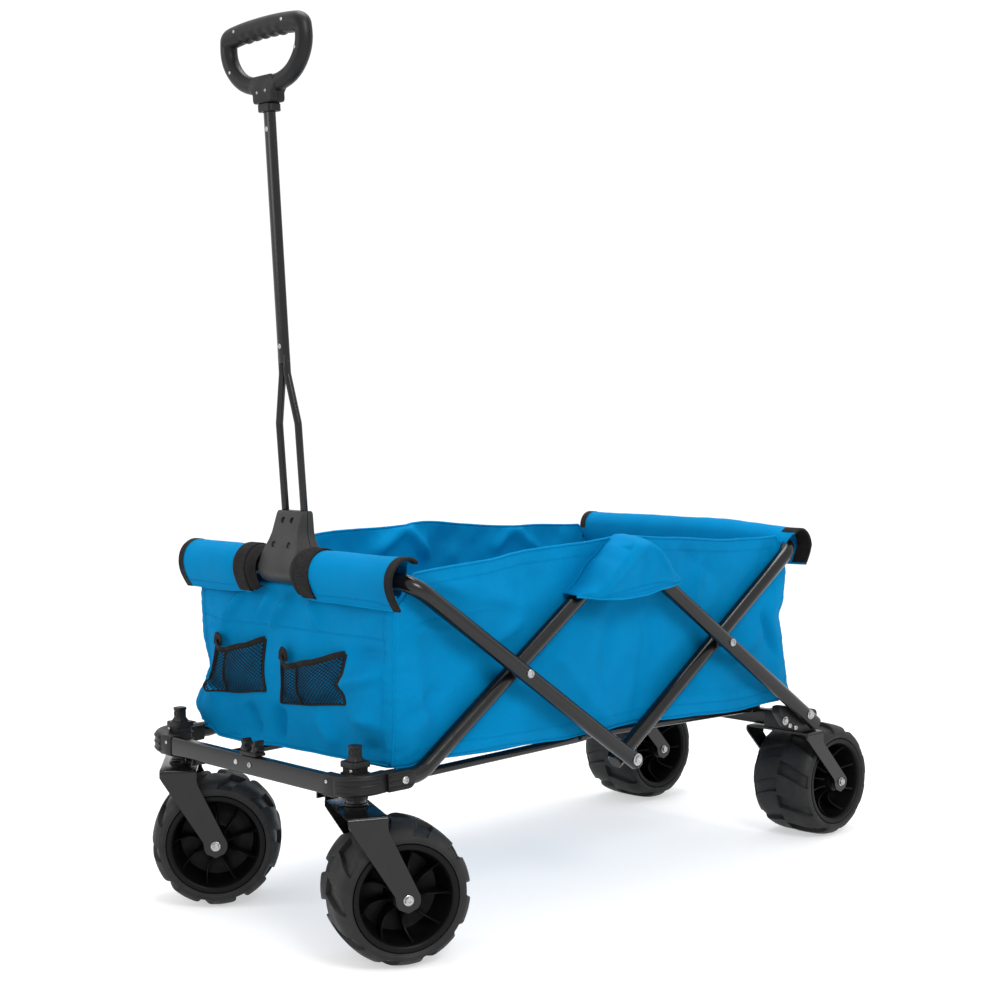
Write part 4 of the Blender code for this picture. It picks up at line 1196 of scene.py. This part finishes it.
SIDE_CREASES = creases(
    (-345, 468, -190, 430, 2.6, 12), (-385, 410, -300, 404, 1.2, 6),
    (-278, 372, -184, 402, 2.2, 14), (-140, 372, -50, 290, 3, 16), (-60, 300, -14, 246, 2.4, 14),
    (78, 410, 49, 262, -3, 18), (-10, 412, -30, 300, -2.2, 14), (183, 462, 160, 392, 3, 10),
    (140, 480, 215, 440, -2.4, 10), (352, 446, 282, 386, 3.2, 12), (330, 372, 380, 300, -3.4, 12),
    (-386, 345, -345, 262, 3.4, 14), (-400, 300, -330, 330, -2.4, 12), (120, 262, 330, 252, 2, 10),
    (-300, 262, -150, 256, 1.8, 10), (250, 300, 330, 350, 2.4, 14))
FAR_CREASES = creases(
    (-19, 501, -85, 462, -5, 7), (-19, 501, 34, 450, -5.5, 7), (221, 488, 176, 452, -4.5, 8),
    (221, 488, 284, 440, -4.5, 8), (80, 460, 120, 400, -3.5, 12), (-250, 470, -150, 420, -3.5, 14),
    (-300, 400, -220, 330, 3, 12), (50, 360, 150, 300, -3, 14), (-100, 380, -50, 280, -3, 13),
    (300, 380, 240, 300, 3, 14))
FRONT_CREASES = creases(
    (-88, 438, -134, 396, 3.6, 8), (15, 436, -24, 398, 4, 8), (-30, 440, -60, 405, 2.2, 9),
    (140, 372, 236, 392, -2.4, 12), (130, 336, 185, 356, 4, 10), (180, 356, 236, 364, 3.4, 10),
    (60, 440, 75, 405, 2.2, 8), (-190, 330, -150, 290, 3.5, 12), (-80, 285, -60, 245, -3, 12),
    (80, 296, 110, 250, 3.5, 14), (150, 300, 225, 290, 3.4, 14), (-10, 290, -15, 245, -4, 12),
    (170, 262, 230, 268, -2.6, 10), (-180, 385, -130, 378, 2, 8))
REAR_CREASES = creases(
    (-150, 430, -80, 330, 4, 12), (60, 440, 20, 340, 3.6, 12), (190, 400, 110, 300, 4.5, 14),
    (-200, 330, -100, 270, 3.5, 12), (-40, 300, 70, 262, 3.2, 12), (120, 440, 150, 380, -3, 10))


def crease(u, v, start, end, height, width):
    """A soft ridge from start to end that dies away at both."""
    (u0, v0), (u1, v1) = start, end
    long = hypot(u1 - u0, v1 - v0)
    share = ((u - u0) * (u1 - u0) + (v - v0) * (v1 - v0)) / (long * long)
    off = ((u - u0) * (v1 - v0) - (v - v0) * (u1 - u0)) / long
    ends = smooth(share, -0.18, 0.22) * (1 - smooth(share, 0.72, 1.22))
    return height * ends / (1 + (off / width) ** 2) ** 1.5


def tube_room(y, z):
    """How free of the inner tubes a point of the side wall is, from 0 to 1."""
    length = hypot(1, TUBE_RISE)
    first = abs((z - PIVOT_TOP[1]) - TUBE_RISE * y) / length
    second = abs((z - PIVOT_MID[1]) - TUBE_RISE * y) / length
    level = abs(z - FRONT_HINGE[1]) + max(y + 0.365, 0)
    return smooth(min(first, second, level), 0.012, 0.055)


def side_bulge(sign, y, z):
    """How far the side wall stands out from its flat place."""
    out = 0.0085 * tube_room(y, z)
    creases, gain, soft = (SIDE_CREASES, 3.1, 1.0) if sign > 0 else (FAR_CREASES, 2.2, 1.6)
    for start, end, height, width in creases:
        out += crease(y, z, start, end, height * gain, width * soft)
    out += 0.0036 * wobble(sign * 0.2, y, z, 9, 1) + 0.0022 * wobble(sign * 0.2, y, z, 24, 2)
    out += 0.0022 * wobble(sign * 0.2, y * 1.6, z, 42, 4) * smooth(z, 0.44, 0.48)
    out += 0.0022 * smooth(z, 0.27, 0.245) if z < 0.27 else 0
    limit = 0.0012 + 0.015 * tube_room(y, z)
    return min(out, limit) if out > 0 else out


def end_bulge(end, x, z):
    out = 0.006 * sin(pi * smooth(z, 0.235, 0.44)) \
        * (1 - smooth(abs(x), 0.15, 0.22))
    for start, end_point, height, width in (FRONT_CREASES if end == "front" else REAR_CREASES):
        out += crease(x, z, start, end_point, height * 3.6, width)
    seed = 3 if end == "front" else 5
    out += 0.004 * wobble(x, 0.4, z, 10, seed) + 0.0024 * wobble(x, 0.4, z, 26, seed + 1)
    return out


def seam_at(end, sign, z):
    """(sideways, lengthways) offset of a corner seam at a height."""
    return [table([(row[0], row[k]) for row in SEAMS[end, sign]], z) for k in (1, 2)]


ARC = [45, 56, 67, 78, 90]       # degrees of a wall's half of each corner
WALL_LEVELS = 46                 # points of a wall from its foot to its top
SEAM_LEVEL = 34                  # the sewn line across a wall


def wall_columns(half, count):
    """(position, inset) along a wall between its two corner seams."""
    columns = []
    for a in ARC:
        turn = radians(a)
        columns.append((-(half - CORNER_R) - CORNER_R * cos(turn),
                        CORNER_R * (1 - sin(turn))))
    flat = half - CORNER_R
    columns += [(mix(-flat, flat, i / count), 0.0) for i in range(1, count)]
    columns += [(-p, inset) for p, inset in reversed(columns[:len(ARC)])]
    return columns


def pull_of(near, z):
    """Small puckers where a corner seam gathers the cloth."""
    gather = 0.0007 * sin(2 * pi * z / 0.0125) + 0.0005 * sin(z * 310)
    return gather * smooth(near, 0.001, 0.006) * (1 - smooth(near, 0.008, 0.03))


def side_wall(sign):
    """Rows of points over a side wall."""
    rows = []
    for position, inset in wall_columns(WALL_Y, 150):
        low, high = table(HEM, position), table(TOP_EDGE, position)
        high += 0.0015 * sin(position * 30) * (sign < 0)
        row = []
        for k in range(WALL_LEVELS + 1):
            z = mix(low, high, k / WALL_LEVELS)
            near_f, near_r = position + WALL_Y, WALL_Y - position
            keep = smooth(min(near_f, near_r), 0.004, 0.04)
            pucker = pull_of(min(near_f, near_r), z)
            x = WALL_X - inset + keep * side_bulge(sign, position, z) + pucker
            y = position
            for end, near, way in (("front", near_f, -1), ("rear", near_r, 1)):
                sideways, lengthways = seam_at(end, sign, z)
                share = 1 - smooth(near, 0.0, 0.075)
                room = mix(1, tube_room(position, z), 0.75)
                x += sideways * share * (room if sideways > 0 else 1)
                y += way * lengthways * (1 - smooth(near, 0.0, 0.1))
            row.append(Vector((sign * x, y, z)))
        rows.append(row)
    return rows


def end_wall(end):
    """Rows of points over an end wall, from the right-hand seam to the left-hand one."""
    way = -1 if end == "front" else 1
    rows = []
    for position, inset in wall_columns(WALL_X, 84):
        low = table(FRONT_HEM, position) if end == "front" else 0.2375
        high = 0.456
        row = []
        for k in range(WALL_LEVELS + 1):
            z = mix(low, high, k / WALL_LEVELS)
            near_r, near_l = position + WALL_X, WALL_X - position
            keep = smooth(min(near_r, near_l), 0.004, 0.04)
            pucker = pull_of(min(near_r, near_l), z)
            y = WALL_Y - inset + keep * end_bulge(end, position, z) + pucker
            x = position
            for sign, near in ((-1, near_r), (1, near_l)):
                sideways, lengthways = seam_at(end, sign, z)
                x += sign * sideways * (1 - smooth(near, 0.0, 0.075))
                y += lengthways * (1 - smooth(near, 0.0, 0.11))
            y -= 0.0045 * smooth(z, 0.425, 0.45)
            row.append(Vector((x, way * y, z)))
        rows.append(row)
    return rows


def seam_line(points, radius=0.0013):
    """A fine rolled seam along points."""
    return sweep(points, circle(radius, 8))


def stitches(points, out, pitch=0.0045, long=0.003, wide=0.0007):
    """A row of small stitches that lie on a surface along points."""
    shells, carried = [], 0.0
    for a, b in zip(points, points[1:]):
        step = (b - a).length
        while carried < step:
            spot = a.lerp(b, carried / step)
            way = (b - a).normalized()
            shells.append(sweep([spot + out * 0.0003, spot + way * long * 0.5 + out * 0.0008,
                                 spot + way * long + out * 0.0003], circle(wide / 2, 6)))
            carried += pitch
        carried -= step
    return shells


def fold_up(obj):
    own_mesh(obj)


def make_walls():
    for side, sign in SIDES.items():
        rows = side_wall(sign)
        obj = cloth("side_panel_" + side, rows, BLUE, "tub", CLOTH)
        fold_up(obj)
        inner = [row[len(row) - 1] for row in rows[6:-6]]
        hem = [row[0] for row in rows[3:-3]]
        band = [seam_line(inner, 0.0019), seam_line(hem, 0.0016)]
        seams = piece("side_hem_" + side, band, BLUE, "tub")
        fold_up(seams)
        lines = []
        for level, step in ((43, 0.0048), (3, 0.0048), (SEAM_LEVEL, 0.0052)):
            out = Vector((sign, 0, 0))
            line = [row[level] + out * 0.0008 for row in rows[8:-8]]
            if level == SEAM_LEVEL:
                line = line[:26]
            lines += stitches(line, out, step)
        thread = piece("side_stitches_" + side, lines, STITCH, "tub", tidy=False)
        fold_up(thread)
    for end, body in (("front", "tub"), ("rear", "tub_rear_wall")):
        rows = end_wall(end)
        obj = cloth(end + "_panel", rows, BLUE, body, CLOTH)
        out = Vector((0, -1 if end == "front" else 1, 0))
        shells = [seam_line([row[0] for row in rows[2:-2]], 0.0017)]
        shells += [seam_line(rows[0], 0.0016), seam_line(rows[-1], 0.0016)]
        piece(end + "_hem", shells, BLUE, body)
        lines = stitches([row[SEAM_LEVEL] + out * 0.0008 for row in rows[4:-4]], out, 0.0048)
        for column in (5, -6):
            lines += stitches([p + out * 0.0008 for p in rows[column]], out, 0.0048)
        piece(end + "_stitches", lines, STITCH, body, tidy=False)
    make_floor()


def foot_line(rows, along_axis, out_axis):
    """(place, distance out) of a wall at the height of the tub's floor."""
    line = []
    for row in rows:
        above = next(i for i, point in enumerate(row) if point.z > FLOOR_Z)
        low, high = row[max(above - 1, 0)], row[max(above, 1)]
        spot = low.lerp(high, min(max((FLOOR_Z - low.z) / (high.z - low.z), 0), 1))
        line.append((spot[along_axis], abs(spot[out_axis])))
    return sorted(line)


def make_floor():
    """Floor of the tub: a soft board under cloth, sagging a little between the rods."""
    sides = {sign: foot_line(side_wall(sign), 1, 0) for sign in (1, -1)}
    ends = {-1: foot_line(end_wall("front"), 0, 1), 1: foot_line(end_wall("rear"), 0, 1)}
    rows = []
    across, length = 48, 90
    for i in range(length + 1):
        forward = 2 * i / length - 1
        row = []
        for j in range(across + 1):
            outward = 2 * j / across - 1
            y = forward * table(ends[1 if forward > 0 else -1], outward * WALL_X)
            x = outward * table(sides[1 if outward > 0 else -1], y)
            z = FLOOR_Z + 0.0012 * wobble(x, y, 0, 8, 7) + 0.0005 * wobble(x, y, 0, 25, 8)
            z -= 0.001 * cos(pi * x / 0.42) * cos(pi * y / 0.84)
            row.append(Vector((x, y, z)))
        rows.append(row)
    obj = cloth("tub_floor", rows, BLUE, "tub", 0.002)
    fold_up(obj)


# ---- padded sleeves on the rails
def sleeve_profile(x, way, sag=0.0):
    """(y, z) round a sleeve from its outer hem over the rail to its inner hem."""
    y0, z0 = way * RAIL_Y, RAIL_Z
    ripple = 0.0012 * wobble(x, 0.3, 0.1, 18, 9 + way)
    points = [(0.019, -0.033 - sag), (0.024, -0.0255), (0.0305, -0.013), (0.0338, 0.0),
              (0.0318, 0.0125), (0.025, 0.023), (0.014, 0.03), (0.002, 0.0306),
              (-0.0085, 0.0258), (-0.0145, 0.017), (-0.0162, 0.006), (-0.0165, -0.006),
              (-0.015, -0.018), (-0.0115, -0.027)]
    fine = []
    for a, b in zip(points, points[1:]):
        fine += [(mix(a[0], b[0], s / 3), mix(a[1], b[1], s / 3)) for s in range(3)]
    fine.append(points[-1])
    for _ in range(2):
        fine = [fine[0]] + [((a[0] + 2 * b[0] + c[0]) / 4, (a[1] + 2 * b[1] + c[1]) / 4)
                            for a, b, c in zip(fine, fine[1:], fine[2:])] + [fine[-1]]
    reach = (len(fine) - 1) * (1 - 0.37 * smooth(abs(x), 0.2, 0.232))
    shaped = []
    for i in range(len(fine)):
        place = min(reach * i / (len(fine) - 1), len(fine) - 1.001)
        (u0, v0), (u1, v1) = fine[int(place)], fine[int(place) + 1]
        shaped.append((mix(u0, u1, place % 1), mix(v0, v1, place % 1)))
    drop = 0.008 * smooth(x, 0.08, 0.225) if way > 0 else 0
    return [(y0 + way * u * (1 + ripple * 20), z0 + (v - drop * (v > 0)) * (1 + ripple * 12))
            for u, v in shaped]


def sleeve_rows(start, stop, way, pinch=()):
    rows = []
    count = max(20, int((stop - start) / 0.0055))
    for i in range(count + 1):
        x = mix(start, stop, i / count)
        tight = sum(exp(-((x - spot) / 0.02) ** 2) for spot in pinch)
        row = []
        profile = sleeve_profile(x, way, 0.0012 * wobble(x, 0, 0, 12, 11))
        for y, z in profile:
            puff = 0.0008 * wobble(x, y, z, 40, 12) + 0.0014 * wobble(x, y, z, 14, 13)
            grow = 1 - 0.05 * tight + puff * 22
            row.append(Vector((x, mix(way * RAIL_Y, y, grow), mix(RAIL_Z, z, grow))))
        rows.append(row)
    return rows


def binding(rows, index, wide=0.012, thick=0.0019):
    """Dark binding over an end of a sleeve, along its profile."""
    inward = 1 if index == 0 else -1
    line = rows[index]
    way = 1 if line[0].y > 0 else -1
    centre = Vector((line[0].x, way * RAIL_Y, RAIL_Z - 0.006))
    shift, tip = Vector((inward * wide, 0, 0)), Vector((-inward * 0.0014, 0, 0))
    rings = []
    for point in line:
        away = (point - centre).normalized()
        flat = Vector((0, away.y, away.z)).normalized()
        a, b = point + flat * thick, point - flat * thick
        rings.append([a + shift, a, point + tip, b, b + shift])
    return grid(rings)


def strap_rows(start, stop, way, lift, low_z):
    """Webbing wrapped over a sleeve."""
    rows = []
    count = 14
    for i in range(count + 1):
        x = mix(start, stop, i / count)
        row = []
        for y, z in sleeve_profile(x, way):
            point = Vector((x, mix(way * RAIL_Y, y, 1 + lift), mix(RAIL_Z, z, 1 + lift)))
            if point.z < low_z:
                point.z = low_z - (low_z - point.z) * 0.15
            row.append(point)
        rows.append(row)
    return rows


def fine_rows(rows, times):
    """Rows with extra points along each."""
    made = []
    for row in rows:
        fine = []
        for a, b in zip(row, row[1:]):
            fine += [a.lerp(b, s / times) for s in range(times)]
        made.append(fine + [row[-1]])
    return made


def ribbed(rows, way, height=0.0007):
    """Rows with every second point lifted off the rail."""
    made = []
    for row in rows:
        centre = Vector((row[0].x, way * RAIL_Y, RAIL_Z))
        made.append([p + (p - centre).normalized() * (height if k % 2 else 0)
                     for k, p in enumerate(row)])
    return made


def make_sleeves():
    spans = {"front_right": (-0.213, -0.0575, 0.165), "front_left": (0.063, 0.248, 0.19)}
    for name, (start, stop, width) in spans.items():
        rows = sleeve_rows(start, stop, -1, pinch=(-0.08, 0.055))
        obj = cloth("sleeve_" + name, rows, BLUE, "tub", 0.0022)
        end = 0 if name == "front_right" else -1
        piece("binding_" + name, [binding(rows, end)], BINDING, "tub", angle=50)
        out = Vector((0, -1, 0))
        piece("sleeve_hem_" + name, [seam_line([row[0] for row in rows[1:-1]], 0.0016),
              *stitches([row[3] + out * 0.0014 for row in rows[2:-2]], out, 0.0048)], STITCH,
              "tub", tidy=False)
    rows = sleeve_rows(-0.218, 0.233, 1)
    obj = cloth("sleeve_rear", rows, BLUE, "tub_rear_wall", 0.0022)
    for label, end, wide in (("right", 0, 0.012), ("left", -1, 0.026)):
        piece("binding_rear_" + label, [binding(rows, end, wide)], BINDING, "tub_rear_wall",
              angle=50)
    piece("rear_sleeve_hem", [seam_line([row[0] for row in rows[1:-1]], 0.0016),
          seam_line([row[-1] for row in rows[1:-1]], 0.0016)], BLUE, "tub_rear_wall")
    for name, start, stop, inner in (("right", -0.0795, -0.055, (-0.059, -0.039)),
                                     ("left", 0.06, 0.085, (0.064, 0.039))):
        rows = ribbed(fine_rows(strap_rows(start, stop, -1, 0.07, 0.445), 3), -1)
        cloth("strap_" + name, rows, STRAP, "tub", 0.002, 40)
        rows = strap_rows(*inner, -1, 0.035, 0.447)
        rail = Vector((0, -RAIL_Y, RAIL_Z))
        for i, row in enumerate(rows):
            grip = 1 - 0.17 * smooth(i / (len(rows) - 1), 0.45, 1.0)
            rows[i] = [Vector((p.x, *(rail + (p - rail) * grip).yz)) for p in row]
        cloth("strap_inner_" + name, rows, BINDING, "tub", 0.0018, 50)


# ---- flaps over the top joints
FLAP_TOP = in_mm((-100, 434.5), (-85, 442.5), (-45, 480), (-20, 498.5), (0, 508.5), (22, 508),
                 (38, 499.5), (111, 439))
FLAP_HEM = in_mm((-100, 431.5), (-71, 427.7), (-30, 425.5), (12, 427.2), (54, 433.8), (95, 437),
                 (111, 435.2))
FLAP_OUT = in_mm((-100, 238.5), (-82, 256), (-55, 262.5), (55, 264.5), (95, 256), (111, 240))


def over_tube(y, z, plane, side):
    """Least distance out at which cloth lies on a tube that leaves the top pivot on one side."""
    if (y - PIVOT_TOP[0]) * side < -0.016:
        return 0.0
    off = abs(z - PIVOT_TOP[1] + side * TUBE_RISE * (y - PIVOT_TOP[0])) / hypot(1, TUBE_RISE)
    radius = TUBE_R + 0.002
    if off < radius * 0.9:
        return plane + sqrt(radius * radius - off * off)
    return plane + radius * 0.436 - (off - radius * 0.9) * 1.1


def flap_rows(sign):
    across, down = 60, 34
    rows = []
    for i in range(across + 1):
        y = mix(-0.1, 0.111, i / across)
        top_z, hem_z, hem_x = (table(line, y) for line in (FLAP_TOP, FLAP_HEM, FLAP_OUT))
        top_z -= 0.005 * (sign < 0)
        top_x = WALL_X + max(side_bulge(sign, y, top_z), 0) + 0.0016
        roof = min(0.015, (top_z - hem_z) * 0.55)
        row = []
        for k in range(down + 1):
            share = k / down
            turn = pi / 2 * min(share / 0.42, 1)
            x = mix(top_x, hem_x, sin(turn))
            z = top_z - roof * (1 - cos(turn))
            z -= (top_z - roof - hem_z) * max(share - 0.42, 0) / 0.58
            fold = 0.0022 * wobble(0.3, y, z, 22, 15) + 0.0018 * wobble(0.3, y, z, 9, 16)
            fold += crease(y, z, (0.02, 0.502), (-0.06, 0.44), 0.004, 0.007)
            fold += crease(y, z, (0.026, 0.502), (0.07, 0.445), 0.0056, 0.006)
            fold += crease(y, z, (0.018, 0.48), (0.004, 0.435), -0.004, 0.009)
            x += fold * smooth(share, 0.12, 0.35)
            if share > 0.15:
                x = max(x, over_tube(y, z, INNER_X, -1), over_tube(y, z, OUTER_X, 1))
            row.append(Vector((sign * x, y, z)))
        rows.append(row)
    return rows


def make_flaps():
    """Cloth hood over each top joint: its peak is sewn to the wall and its hem swings out."""
    for side, sign in SIDES.items():
        rows = flap_rows(sign)
        obj = cloth("side_flap_" + side, rows, BLUE, "flaps", CLOTH)
        out = Vector((sign, 0, 0))
        lines = [seam_line([row[-1] for row in rows], 0.0015),
                 seam_line([row[0] for row in rows], 0.0014)]
        for level in (-3, -5):
            lines += stitches([row[level] + out * 0.0009 for row in rows[1:-1]], out, 0.0046)
        piece("flap_hem_" + side, lines, STITCH, "flaps", tidy=False)


# ---- mesh pockets
POCKETS = {"right": dict(top=in_mm((-142, 368), (-116, 358), (-68, 369), (-40, 379)),
                         foot=[(-0.166, 0.297), (-0.115, 0.299), (-0.038, 0.309)],
                         seam=0.3, deep=0.017),
           "left": dict(top=in_mm((5, 362), (29, 351), (78, 361), (133, 376)),
                        foot=[(-0.003, 0.2975), (0.045, 0.3015), (0.138, 0.312)],
                        seam=0.34, deep=0.016)}


def pocket_point(pocket, s, t):
    """A point of a pocket: s from its right-hand side to its left, t from the foot up."""
    top, foot = pocket["top"], pocket["foot"]
    high = Vector((mix(top[0][0], top[-1][0], s), 0))
    high.y = table(top, high.x)
    low = Vector((mix(foot[0][0], foot[-1][0], s), 0))
    low.y = table(foot, low.x)
    spot = low.lerp(high, t)
    gape = pocket["deep"] * sin(pi * s ** 0.75) ** 0.7
    deep = gape * (0.3 + 0.7 * sin(pi * min(t, 1) * 0.62)) * smooth(t, -0.02, 0.35)
    deep *= 1 - 0.35 * exp(-((s - pocket["seam"]) / 0.06) ** 2)
    pinch = 0.006 * sin(pi * t) * (1 - 2 * s) * smooth(abs(s - 0.5), 0.2, 0.5)
    back = WALL_Y + end_bulge("front", spot.x, spot.y) + 0.0016
    return Vector((spot.x + pinch * 0.4, -(back + deep), spot.y))


def net(pocket, cells_x, cells_y, strand=0.00062):
    """Diamond net over a pocket, each strand its own fine cord."""
    shells = []
    for way in (1, -1):
        for start in range(-cells_y, cells_x + cells_y + 1):
            spots = [(start / cells_x + way * t / (2 * cells_x), t / (2 * cells_y))
                     for t in range(2 * cells_y + 1)]
            points = [pocket_point(pocket, s, t) for s, t in spots if 0 <= s <= 1]
            if len(points) > 2:
                shells.append(sweep(points, circle(strand, 4)))
    return shells


def make_pockets():
    for name, pocket in POCKETS.items():
        obj = piece("mesh_pocket_" + name, net(pocket, 20, 13), NET, "tub", tidy=False)
        tape = []
        count = 26
        shares = [i / count for i in range(count + 1)]
        for s, t, wide in ((None, 1.0, 0.008), (None, 0.0, 0.003), (0.0, None, 0.005),
                           (1.0, None, 0.006), (pocket["seam"], None, 0.0034)):
            line = [pocket_point(pocket, share if s is None else s, share if t is None else t)
                    for share in shares]
            tape.append(sweep(line, rounded_rect(0.002, wide, 0.0009, 2), side=(0, 1, 0)))
        corner = pocket_point(pocket, 0.02, 1.0)
        loop = [corner + Vector((0.001, -0.001, -0.004)), corner + Vector((0.003, -0.002, 0.005)),
                corner + Vector((0.009, -0.004, 0.011)), corner + Vector((0.015, -0.004, 0.008)),
                corner + Vector((0.015, -0.003, -0.004))]
        tape.append(sweep(bend(loop, 0.003, 4), rounded_rect(0.002, 0.009, 0.0009, 2),
                          side=(0, 1, 0)))
        piece("pocket_binding_" + name, tape, BINDING, "tub")


make_camera()
make_stage()
make_frames()
make_bases()
make_wheels()
make_bracket()
handle_rods()
handle_tube()
make_grip()
make_walls()
make_sleeves()
make_flaps()
make_pockets()
